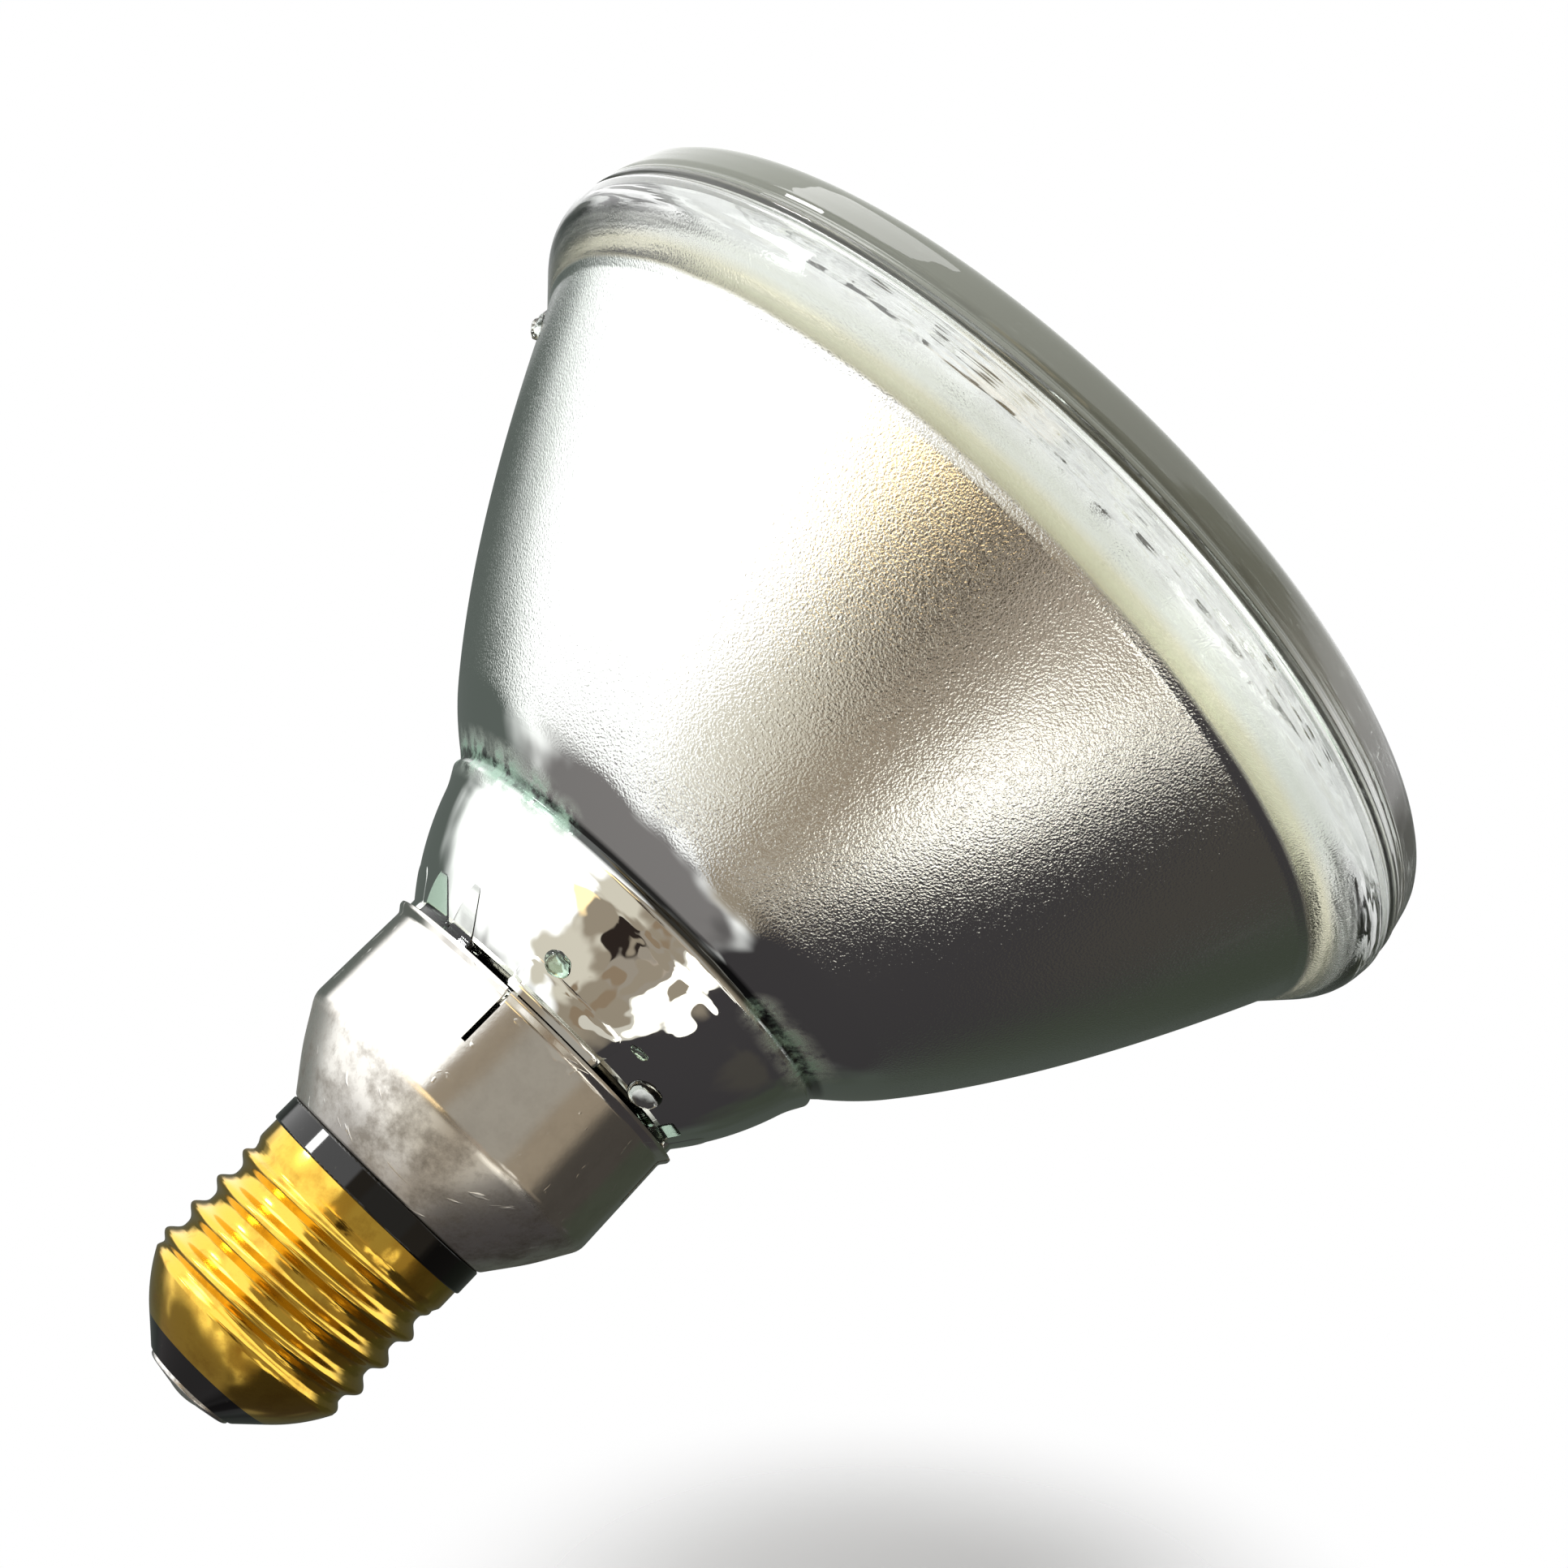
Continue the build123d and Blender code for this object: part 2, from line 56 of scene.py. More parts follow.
class Slot(Enum):
    """Names of the part record's slots for the new pieces' finishes."""

    CLEAR_GLASS = "clear_glass"
    SILVERED_GLASS = "silvered_glass"
    ALUMINIUM = "aluminium_sheet"
    BRASS = "brass_sheet"


def linear(hex_colour: str) -> Colour:
    """Turn an sRGB hex colour to the linear colour that shaders take.

    Args:
        hex_colour: Six hex digits after a hash, such as "#C8C8C4".

    Returns:
        Red, green, blue and an alpha of 1.
    """
    parts = [int(hex_colour[i : i + 2], 16) / 255 for i in (1, 3, 5)]
    red, green, blue = (p / 12.92 if p <= 0.04045 else ((p + 0.055) / 1.055) ** 2.4 for p in parts)
    return red, green, blue, 1.0


def outward(angle: float) -> Vector:
    """Direction away from the lamp's axis at an angle in degrees."""
    return Vector((cos(radians(angle)), sin(radians(angle)), 0))


def add_node(
    tree: bpy.types.NodeTree, kind: str, inputs: dict | None = None, **settings: object
) -> bpy.types.Node:
    """Add one shader node with its settings and what goes into its sockets.

    Args:
        tree: The material's or world's node tree.
        kind: The node's type name without its "ShaderNode".
        inputs: By socket name or number a value, a hex colour, a socket to link from, or a node whose
            first output is linked.
        **settings: Properties of the node itself.

    Returns:
        The new node.
    """
    node = tree.nodes.new("ShaderNode" + kind)
    for name, value in settings.items():
        setattr(node, name, value)
    for name, source in (inputs or {}).items():
        if isinstance(source, bpy.types.Node):
            source = next(socket for socket in source.outputs if socket.enabled)
        if isinstance(source, bpy.types.NodeSocket):
            tree.links.new(source, node.inputs[name])
        else:
            node.inputs[name].default_value = linear(source) if isinstance(source, str) else source
    return node


def new_material(name: str) -> tuple[bpy.types.Material, bpy.types.NodeTree, bpy.types.NodeSocket]:
    """Start a material with nothing but the object's own coordinates.

    Args:
        name: The material's name.

    Returns:
        The material, its node tree and the socket that gives a point's place on the object.
    """
    material = bpy.data.materials.new(name)
    material.use_nodes = True
    material.node_tree.nodes.clear()
    return material, material.node_tree, add_node(material.node_tree, "TexCoord").outputs["Object"]


@dataclass(frozen=True)
class PressedGlass:
    """Pressed borosilicate glass: clear, with fine rings of flow round the lamp, a pale green depth and an
    olive grey matt skin on the rim's unpolished outer face, painted darker towards one side as painted shade."""

    name: str = "pressed_clear_glass"
    body: str = "#FAFCFA"
    skin_and_shade: str = "#454B37"
    skin_and_shade_share: float = 0.88
    shaded_side_angle: float = -35.0
    skin_radius_mm: float = 58.0
    depth_tint: str = "#BFD8C2"
    absorption: float = 1.2
    shaded_side_fade_mm: Spot = (-12.0, 22.0)
    unshaded_skin: float = 0.25
    ior: float = 1.47
    roughness: float = 0.015
    ring_mm: float = 1.3
    ring_height_mm: float = 0.045

    def build(self) -> bpy.types.Material:
        """Build the material."""
        material, tree, place = new_material(self.name)
        stretch = add_node(tree, "Mapping", {
            "Scale": (35.0, 35.0, 1 / (self.ring_mm * MM)), "Vector": place})
        rings = add_node(tree, "TexNoise", {"Scale": 1.0, "Detail": 2.0, "Vector": stretch})
        bump = add_node(tree, "Bump", {
            "Strength": 1.0, "Distance": self.ring_height_mm * MM, "Height": rings})
        across = add_node(tree, "VectorMath", {1: (1.0, 1.0, 0.0), 0: place}, operation="MULTIPLY")
        radius = add_node(tree, "VectorMath", {0: across}, operation="LENGTH")
        skin_and_shade = add_node(tree, "MapRange", {
            "From Min": (self.skin_radius_mm - 0.4) * MM, "From Max": (self.skin_radius_mm + 0.4) * MM,
            "To Max": self.skin_and_shade_share, "Value": radius})
        # Painted shade: the olive skin darkens towards one side of the rim and thins to a faint real skin on
        # the other.
        turn = add_node(tree, "VectorMath", {
            0: place, 1: outward(self.shaded_side_angle)}, operation="DOT_PRODUCT")
        shaded_side = add_node(tree, "MapRange", {
            "From Min": self.shaded_side_fade_mm[0] * MM, "From Max": self.shaded_side_fade_mm[1] * MM,
            "To Min": self.unshaded_skin, "To Max": 1.0, "Value": turn}, interpolation_type="SMOOTHSTEP")
        skin_and_shade_mask = add_node(tree, "Math", {0: skin_and_shade, 1: shaded_side}, operation="MULTIPLY")
        through = add_node(tree, "Math", {0: 1.0, 1: skin_and_shade_mask}, operation="SUBTRACT")
        colour = add_node(tree, "Mix", {"A": self.body, "B": self.skin_and_shade, "Factor": skin_and_shade_mask}, data_type="RGBA")
        glass = add_node(tree, "BsdfPrincipled", {
            "Roughness": self.roughness, "IOR": self.ior, "Base Color": colour,
            "Transmission Weight": through, "Normal": bump})
        depth = add_node(tree, "VolumeAbsorption", {"Color": self.depth_tint, "Density": self.absorption})
        add_node(tree, "OutputMaterial", {"Surface": glass, "Volume": depth})
        return material


@dataclass(frozen=True)
class SilveredGlass:
    """Pressed glass silvered on its inside: the stipple of the mould breaks the bowl's reflections into fine
    sparkling grains, the neck is fire-polished and mirrors the room, the bowl turns grey green towards its
    outline as painted shade, the fold of the groove is painted near black as painted shade with pale green
    frost on it, and below the coating a yellowish and a frosted band run out into clear glass."""

    name: str = "stippled_silvered_glass"
    silver: str = "#F1F2EF"
    painted_edge_shade: str = "#A3B5AA"
    thin_coat: str = "#CFC9A0"
    coat_line: str = "#8C8268"
    frosted: str = "#D9DDD0"
    clear: str = "#FBFDFB"
    groove_frost: str = "#8FAD9C"
    coat_edge_mm: float = 23.9
    thin_low_mm: float = 21.9
    frost_low_mm: float = 20.2
    smooth_from_mm: float = 61.4
    groove_painted_shade: str = "#171B19"
    groove_mm: float = 67.7
    groove_radius_mm: float = 27.0
    bowl_roughness: float = 0.12
    neck_roughness: float = 0.02
    frost_roughness: float = 0.12
    stipple_mm: float = 0.26
    stipple_height_mm: float = 0.05
    edge_wobble_mm: float = 0.25
    flow_height_mm: float = 0.05
    frosted_spots: tuple[Corner, ...] = (
        (-8.0, 66.6, 5.0), (-22.0, 66.8, 6.0), (-36.0, 67.0, 6.0), (-50.0, 67.6, 4.0), (-60.0, 67.9, 2.6),
        (-122.0, 67.8, 3.0), (-133.0, 67.9, 4.5), (-144.0, 67.6, 6.0),
    )

    def build(self) -> bpy.types.Material:
        """Build the material."""
        material, tree, place = new_material(self.name)
        axis = add_node(tree, "SeparateXYZ", {"Vector": place}).outputs["Z"]
        wobble = add_node(tree, "TexNoise", {"Scale": 170.0, "Detail": 3.0, "Vector": place})
        height = add_node(tree, "Math", {
            1: self.edge_wobble_mm * MM, 0: wobble, 2: axis}, operation="MULTIPLY_ADD")
        rises = (
            (self.coat_edge_mm + 0.1, self.coat_edge_mm + 0.5, 1.0),
            (self.thin_low_mm, self.thin_low_mm + 0.9, 1.0),
            (self.frost_low_mm, self.frost_low_mm + 1.2, 1.0),
            (self.coat_edge_mm - 0.5, self.coat_edge_mm + 0.2, 0.55),
            (self.smooth_from_mm, self.smooth_from_mm + 2.4, 1.0),
        )
        silvered, thin, frost, line, smooth = (
            add_node(tree, "MapRange", {
                "From Min": low * MM, "From Max": high * MM, "To Max": top, "Value": height})
            for low, high, top in rises)

        nearness = 0.0
        for angle, z, size in self.frosted_spots:
            spot = outward(angle) * self.groove_radius_mm + Vector((0, 0, z))
            away = add_node(tree, "VectorMath", {0: place, 1: spot * MM}, operation="DISTANCE")
            near = add_node(tree, "MapRange", {
                "From Min": 0.3 * size * MM, "From Max": size * MM, "To Min": 1.0, "To Max": 0.0,
                "Value": away})
            nearness = add_node(tree, "Math", {0: nearness, 1: near}, operation="MAXIMUM")
        offset = add_node(tree, "Math", {1: self.groove_mm * MM, 0: axis}, operation="SUBTRACT")
        apart = add_node(tree, "Math", {0: offset}, operation="ABSOLUTE")
        belt = add_node(tree, "MapRange", {
            "From Min": 0.8 * MM, "From Max": 2.4 * MM, "To Min": 1.0, "To Max": 0.0, "Value": apart})
        crumbs = add_node(tree, "TexNoise", {
            "Scale": 520.0, "Detail": 4.0, "Roughness": 0.65, "Vector": place})
        crumbled = add_node(tree, "MapRange", {"From Min": 0.36, "From Max": 0.56, "Value": crumbs})
        belted = add_node(tree, "Math", {0: nearness, 1: belt}, operation="MULTIPLY")
        clinging = add_node(tree, "Math", {0: belted, 1: crumbled}, operation="MULTIPLY", use_clamp=True)

        # Painted shade: the colour turns grey green towards the outline, where the bowl turns away from the
        # view.
        facing = add_node(tree, "LayerWeight", {"Blend": 0.22})
        body = add_node(tree, "Mix", {
            "A": self.silver, "B": self.painted_edge_shade, "Factor": facing.outputs["Facing"]}, data_type="RGBA")
        below = add_node(tree, "Mix", {
            "A": self.clear, "B": self.frosted, "Factor": frost}, data_type="RGBA")
        for shade, mask in ((self.thin_coat, thin), (self.coat_line, line)):
            below = add_node(tree, "Mix", {"A": below, "B": shade, "Factor": mask}, data_type="RGBA")
        colour = add_node(tree, "Mix", {"Factor": silvered, "A": below, "B": body}, data_type="RGBA")
        # Painted shade: the groove's fold is darkened to near black.
        groove_shade_mask = add_node(tree, "MapRange", {
            "From Min": 0.45 * MM, "From Max": 0.85 * MM, "To Min": 0.94, "To Max": 0.0, "Value": apart})
        for shade, mask in ((self.groove_painted_shade, groove_shade_mask), (self.groove_frost, clinging)):
            colour = add_node(tree, "Mix", {"A": colour, "B": shade, "Factor": mask}, data_type="RGBA")
        bare = add_node(tree, "MapRange", {"To Min": 1.0, "To Max": 0.2, "Value": clinging})
        metallic = add_node(tree, "Math", {0: silvered, 1: bare}, operation="MULTIPLY")

        stippled_or_smooth = add_node(tree, "MapRange", {
            "To Min": self.bowl_roughness, "To Max": self.neck_roughness, "Value": smooth})
        glass_roughness = add_node(tree, "MapRange", {
            "To Min": 0.015, "To Max": self.frost_roughness, "Value": frost})
        coat_roughness = add_node(tree, "Mix", {
            "Factor": silvered, "A": glass_roughness, "B": stippled_or_smooth}, data_type="FLOAT")
        roughness = add_node(tree, "Mix", {
            "B": 0.5, "Factor": clinging, "A": coat_roughness}, data_type="FLOAT")
        grains = add_node(tree, "TexNoise", {
            "Scale": 1 / (self.stipple_mm * MM), "Detail": 1.0, "Vector": place})
        grainy = add_node(tree, "MapRange", {"To Min": 1.0, "To Max": 0.0, "Value": smooth})
        pressed = add_node(tree, "Math", {0: grainy, 1: frost}, operation="MULTIPLY")
        crusted = add_node(tree, "Math", {0: pressed, 1: clinging}, operation="MAXIMUM")
        relief = add_node(tree, "Math", {0: grains, 1: crusted}, operation="MULTIPLY")
        bump = add_node(tree, "Bump", {
            "Strength": 1.0, "Distance": self.stipple_height_mm * MM, "Height": relief})
        stretch = add_node(tree, "Mapping", {"Scale": (30.0, 30.0, 800.0), "Vector": place})
        rings = add_node(tree, "TexNoise", {"Scale": 1.0, "Detail": 2.0, "Vector": stretch})
        clear = add_node(tree, "Math", {0: 1.0, 1: silvered}, operation="SUBTRACT")
        ringed = add_node(tree, "Math", {0: rings, 1: clear}, operation="MULTIPLY")
        flow = add_node(tree, "Bump", {
            "Strength": 1.0, "Distance": self.flow_height_mm * MM, "Height": ringed, "Normal": bump})
        glass = add_node(tree, "BsdfPrincipled", {
            "Coat Weight": 0.5, "Coat Roughness": 0.03, "Base Color": colour, "Metallic": metallic,
            "Roughness": roughness, "Transmission Weight": clear, "Normal": flow})
        add_node(tree, "OutputMaterial", {"Surface": glass})
        return material


@dataclass(frozen=True)
class DrawnAluminium:
    """Drawn aluminium sheet: a satin wall that still mirrors the room, a duller mottled cone, and scattered
    bright handling scratches."""

    name: str = "drawn_aluminium"
    metal: str = "#E8E5DE"
    dull: str = "#9C968D"
    wall_roughness: float = 0.13
    cone_roughness: float = 0.3
    shoulder_mm: float = 96.1

    def build(self) -> bpy.types.Material:
        """Build the material."""
        material, tree, place = new_material(self.name)
        axis = add_node(tree, "SeparateXYZ", {"Vector": place}).outputs["Z"]
        cone = add_node(tree, "MapRange", {
            "From Min": (self.shoulder_mm - 0.6) * MM, "From Max": (self.shoulder_mm + 0.4) * MM,
            "Value": axis})
        patches = add_node(tree, "TexNoise", {
            "Scale": 260.0, "Detail": 6.0, "Roughness": 0.7, "Vector": place})
        worn = add_node(tree, "MapRange", {"From Min": 0.44, "From Max": 0.66, "Value": patches})
        depth = add_node(tree, "MapRange", {"To Min": 0.16, "To Max": 0.9, "Value": cone})
        mottled = add_node(tree, "Math", {0: worn, 1: depth}, operation="MULTIPLY")
        turned = add_node(tree, "Mapping", {
            "Rotation": (0.5, 0.35, 0.4), "Scale": (45.0, 1500.0, 420.0), "Vector": place})
        lines = add_node(tree, "TexNoise", {"Scale": 1.0, "Detail": 2.0, "Vector": turned})
        scratched = add_node(tree, "MapRange", {"From Min": 0.68, "From Max": 0.73, "Value": lines})
        colour = add_node(tree, "Mix", {
            "A": self.metal, "B": self.dull, "Factor": mottled}, data_type="RGBA")
        bright = add_node(tree, "Mix", {"B": "#F4F2EC", "Factor": scratched, "A": colour}, data_type="RGBA")
        smooth_or_dull = add_node(tree, "MapRange", {
            "To Min": self.wall_roughness, "To Max": self.cone_roughness, "Value": cone})
        roughness = add_node(tree, "Math", {
            1: 0.12, 0: mottled, 2: smooth_or_dull}, operation="MULTIPLY_ADD")
        relief = add_node(tree, "Math", {1: 0.6, 0: patches, 2: scratched}, operation="MULTIPLY_ADD")
        bump = add_node(tree, "Bump", {"Strength": 0.5, "Distance": 0.05 * MM, "Height": relief})
        metal = add_node(tree, "BsdfPrincipled", {
            "Metallic": 1.0, "Base Color": bright, "Roughness": roughness, "Normal": bump})
        add_node(tree, "OutputMaterial", {"Surface": metal})
        return material


@dataclass(frozen=True)
class WornFinish:
    """Finish that has another colour and gloss where it is scuffed, hazed or dusty.

    Args:
        name: Name of the material.
        clean: Its colour where it is untouched.
        worn: Its colour where it is worn.
        gloss: Its roughness where it is untouched and where it is worn.
        patch_mm: Size of the worn patches.
        share: Noise values between which the wear sets in.
        detail: Octaves of the patches' outline.
        ragged: How ragged the outline is.
        relief_mm: Depth of the wear.
        substance: Socket of the shader that tells metal from glass, and its value.
    """

    name: str
    clean: str
    worn: str
    gloss: Spot
    patch_mm: float = 0.5
    share: Spot = (0.45, 0.7)
    detail: float = 4.0
    ragged: float = 0.5
    relief_mm: float = 0.02
    substance: tuple[str, float] = ("Metallic", 1.0)

    def build(self) -> bpy.types.Material:
        """Build the material."""
        material, tree, place = new_material(self.name)
        patches = add_node(tree, "TexNoise", {
            "Scale": 1 / (self.patch_mm * MM), "Detail": self.detail, "Roughness": self.ragged,
            "Vector": place})
        marked = add_node(tree, "MapRange", {
            "From Min": self.share[0], "From Max": self.share[1], "Value": patches})
        colour = add_node(tree, "Mix", {"A": self.clean, "B": self.worn, "Factor": marked}, data_type="RGBA")
        roughness = add_node(tree, "MapRange", {
            "To Min": self.gloss[0], "To Max": self.gloss[1], "Value": marked})
        looks = {self.substance[0]: self.substance[1], "Base Color": colour, "Roughness": roughness}
        if self.relief_mm:
            looks["Normal"] = add_node(tree, "Bump", {
                "Strength": 0.4, "Distance": self.relief_mm * MM, "Height": patches})
        surface = add_node(tree, "BsdfPrincipled", looks)
        add_node(tree, "OutputMaterial", {"Surface": surface})
        return material


# Bright yellow sheet with hot highlights and a thin brown haze of tarnish in patches
ROLLED_BRASS = WornFinish(
    "rolled_brass", "#E6BD4E", "#A67A2A", (0.11, 0.33), 1 / 0.24, (0.5, 0.82), 6.0, 0.65, 0)
# Deep black, glossy, with a few dusty specks
BLACK_GLASS = WornFinish(
    "moulded_black_glass", "#050505", "#3A3835", (0.06, 0.5), 1 / 0.9, (0.7, 0.8), 3.0, 0.5, 0, ("IOR", 1.52))
# Small metal parts with fine scuffs
TINNED_BRASS = WornFinish("tinned_brass", "#D2D0CC", "#A09D98", (0.2, 0.35))
SOFT_SOLDER = WornFinish("soft_solder", "#BDBBB8", "#8E8C89", (0.3, 0.45))
DRAWN_TUNGSTEN = WornFinish("drawn_tungsten", "#6E6E70", "#4A4A4C", (0.35, 0.5), 0.2)
MOLYBDENUM_FOIL = WornFinish("molybdenum_foil", "#9A9A9C", "#7A7A7C", (0.25, 0.4), 0.3)
NICKEL_PLATED_WIRE = WornFinish("nickel_plated_wire", "#C4C0B8", "#9E9A92", (0.2, 0.35), 0.4)


@dataclass(frozen=True)
class FusedQuartz:
    """Fused quartz of the capsule: colourless, thin and glossy, faintly drawn along its length."""

    name: str = "fused_quartz"
    body: str = "#F4F6F8"
    roughness: float = 0.02

    def build(self) -> bpy.types.Material:
        """Build the material."""
        material, tree, place = new_material(self.name)
        draw = add_node(tree, "Mapping", {"Scale": (900.0, 900.0, 90.0), "Vector": place})
        streaks = add_node(tree, "TexNoise", {"Scale": 1.0, "Detail": 1.0, "Vector": draw})
        bump = add_node(tree, "Bump", {"Strength": 0.3, "Distance": 0.02 * MM, "Height": streaks})
        glass = add_node(tree, "BsdfPrincipled", {
            "Base Color": self.body, "Roughness": self.roughness, "IOR": 1.458, "Transmission Weight": 1.0,
            "Normal": bump})
        add_node(tree, "OutputMaterial", {"Surface": glass})
        return material


def trace(corners: list[Corner]) -> list[Spot]:
    """Round the corners of an outline.

    Args:
        corners: Radius, height and size of the rounding at each corner, in mm.

    Returns:
        The points of the rounded outline.
    """
    points: list[Spot] = []
    for i, (r, z, size) in enumerate(corners):
        if size == 0:
            points.append((r, z))
            continue
        here = Vector((r, z))
        start = here + (Vector(corners[i - 1][:2]) - here).normalized() * size
        end = here + (Vector(corners[i + 1][:2]) - here).normalized() * size
        for k in range(ROUNDING_STEPS + 1):
            t = k / ROUNDING_STEPS
            spot = start * (1 - t) ** 2 + here * (2 * t * (1 - t)) + end * t**2
            points.append((spot.x, spot.y))
    return points


def circle_through(a: Spot, b: Spot, c: Spot) -> tuple[Vector, float]:
    """Centre and radius of the circle through three spots."""
    first, ab, ac = Vector(a), Vector(b) - Vector(a), Vector(c) - Vector(a)
    turn = 2 * (ab.x * ac.y - ab.y * ac.x)
    reach = Vector((ac.y * ab.length_squared - ab.y * ac.length_squared,
                    ab.x * ac.length_squared - ac.x * ab.length_squared)) / turn
    return first + reach, reach.length


def arc(start: Spot, middle: Spot, end: Spot, steps: int) -> list[Spot]:
    """Points of the circular arc through three spots.

    Args:
        start: First spot of the arc.
        middle: A spot on the arc.
        end: Last spot of the arc.
        steps: Number of runs.

    Returns:
        The points from start to end.
    """
    centre, _ = circle_through(start, middle, end)
    ray = Vector(start) - centre
    sweep = ray.angle_signed(Vector(end) - centre)
    via = ray.angle_signed(Vector(middle) - centre)
    if sweep * via < 0 or abs(sweep) < abs(via):
        sweep -= 2 * pi if sweep > 0 else -2 * pi
    return [tuple(centre + Matrix.Rotation(-sweep * k / steps, 2) @ ray) for k in range(steps + 1)]


def select_alone(piece: bpy.types.Object) -> None:
    """Select one piece and nothing else."""
    bpy.ops.object.select_all(action="DESELECT")
    piece.select_set(True)
    bpy.context.view_layer.objects.active = piece


def spin_outline(
    name: str, outline: list[Spot], steps: int, start_angle: float = 0.0, closed: bool = False
) -> bpy.types.Object:
    """Turn a half outline once round the lamp's axis, as a lathe does.

    Args:
        name: Name of the piece.
        outline: Radius and height of each point, in mm.
        steps: Number of steps of the turn.
        start_angle: Angle of the first section, in degrees.
        closed: Whether the last point joins the first.

    Returns:
        The turned piece, open in edit mode with everything selected.
    """
    bpy.ops.mesh.primitive_plane_add(size=MM)
    piece = bpy.context.object
    piece.name = piece.data.name = name
    bpy.ops.object.mode_set(mode="EDIT")
    bpy.ops.mesh.select_mode(type="VERT")
    bpy.ops.mesh.select_all(action="SELECT")
    bpy.ops.mesh.merge(type="CENTER")
    places = [outward(start_angle) * (r * MM) + Vector((0, 0, z * MM)) for r, z in outline]
    bpy.ops.transform.translate(value=places[0])
    for before, place in zip(places, places[1:]):
        bpy.ops.mesh.extrude_region_move(TRANSFORM_OT_translate={"value": place - before})
    if closed:
        shape = bmesh.from_edit_mesh(piece.data)
        shape.verts.ensure_lookup_table()
        ends = [v for v in shape.verts if len(v.link_edges) == 1]
        shape.edges.new(ends)
        bmesh.update_edit_mesh(piece.data)
    bpy.ops.mesh.select_all(action="SELECT")
    bpy.ops.mesh.spin(steps=steps, angle=radians(360), center=(0, 0, 0), axis=(0, 0, 1))
    bpy.ops.mesh.select_all(action="SELECT")
    bpy.ops.mesh.remove_doubles(threshold=0.002 * MM)
    bpy.ops.mesh.normals_make_consistent(inside=False)
    return piece


def settle(
    piece: bpy.types.Object, material: bpy.types.Material, slot: Slot, *nodes: str, smooth: float = 35
) -> None:
    """Close a piece's modelling: shade it, dress it, and tie it to the lamp.

    Args:
        piece: The finished piece.
        material: Its finish.
        slot: The record's slot for the finish; not used.
        *nodes: CAD nodes that the piece stands for.
        smooth: Edges sharper than this angle stay sharp, in degrees.
    """
    if bpy.context.mode != "OBJECT":
        bpy.ops.object.mode_set(mode="OBJECT")
    select_alone(piece)
    bpy.ops.object.transform_apply(location=True, rotation=True, scale=True)
    bpy.ops.object.shade_smooth_by_angle(angle=radians(smooth))
    piece.data.materials.clear()
    piece.data.materials.append(material)
    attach(piece, LAMP_BODY)
    if nodes:
        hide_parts(*nodes)
    log.info("%s: %d faces", piece.name, len(piece.data.polygons))


def dress(node: str, material: bpy.types.Material) -> None:
    """Give a CAD node its finish."""
    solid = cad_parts[node]
    solid.data.materials.clear()
    solid.data.materials.append(material)
    log.info("%s: CAD solid dressed in %s", node, material.name)


def thicken(piece: bpy.types.Object, sheet_mm: float) -> None:
    """Give the skin that is open in edit mode the thickness of its sheet, inwards."""
    bpy.ops.object.mode_set(mode="OBJECT")
    sheet = piece.modifiers.new("sheet", "SOLIDIFY")
    sheet.thickness = sheet_mm * MM
    sheet.offset = -1.0
    bpy.ops.object.modifier_apply(modifier=sheet.name)


class LugForm(Enum):
    """Outlines that a lug of the neck can have."""

    PAD = "rounded oblong"
    PEAK = "leaf with its tip towards the bowl"


@dataclass(frozen=True)
class Lug:
    """A glass lug between the neck and the skirt.

    Args:
        name: Name of the piece.
        angle: Its middle, in degrees round the axis.
        half_turn: Half its width, in degrees.
        low: Height of its free end, in mm.
        proud: How far the free end stands out of the neck, in mm.
        form: Outline of the lug.
    """

    name: str
    angle: float
    half_turn: float
    low: float
    proud: float
    form: LugForm

    def width(self, along: float) -> float:
        """Share of the full width at a place along the lug, 0 at its free end."""
        if self.form is LugForm.PEAK:
            return max(0.03, min(1, along / 0.75) ** 0.75)
        return 1 - 0.3 * (1 - min(1, along / 0.3)) ** 2.5


@dataclass(frozen=True)
class Lump:
    """A small lump of glass.

    Args:
        name: Name of the piece.
        angle: Its place in degrees round the axis.
        radius: How far its middle lies from the axis, in mm.
        z: Its height, in mm.
        half_sizes: Half its size out from the axis, round it and along it, in mm.
        dent_mm: Size of its dents.
        dent_depth_mm: Depth of its dents.
    """

    name: str
    angle: float
    radius: float
    z: float
    half_sizes: Corner
    dent_mm: float
    dent_depth_mm: float


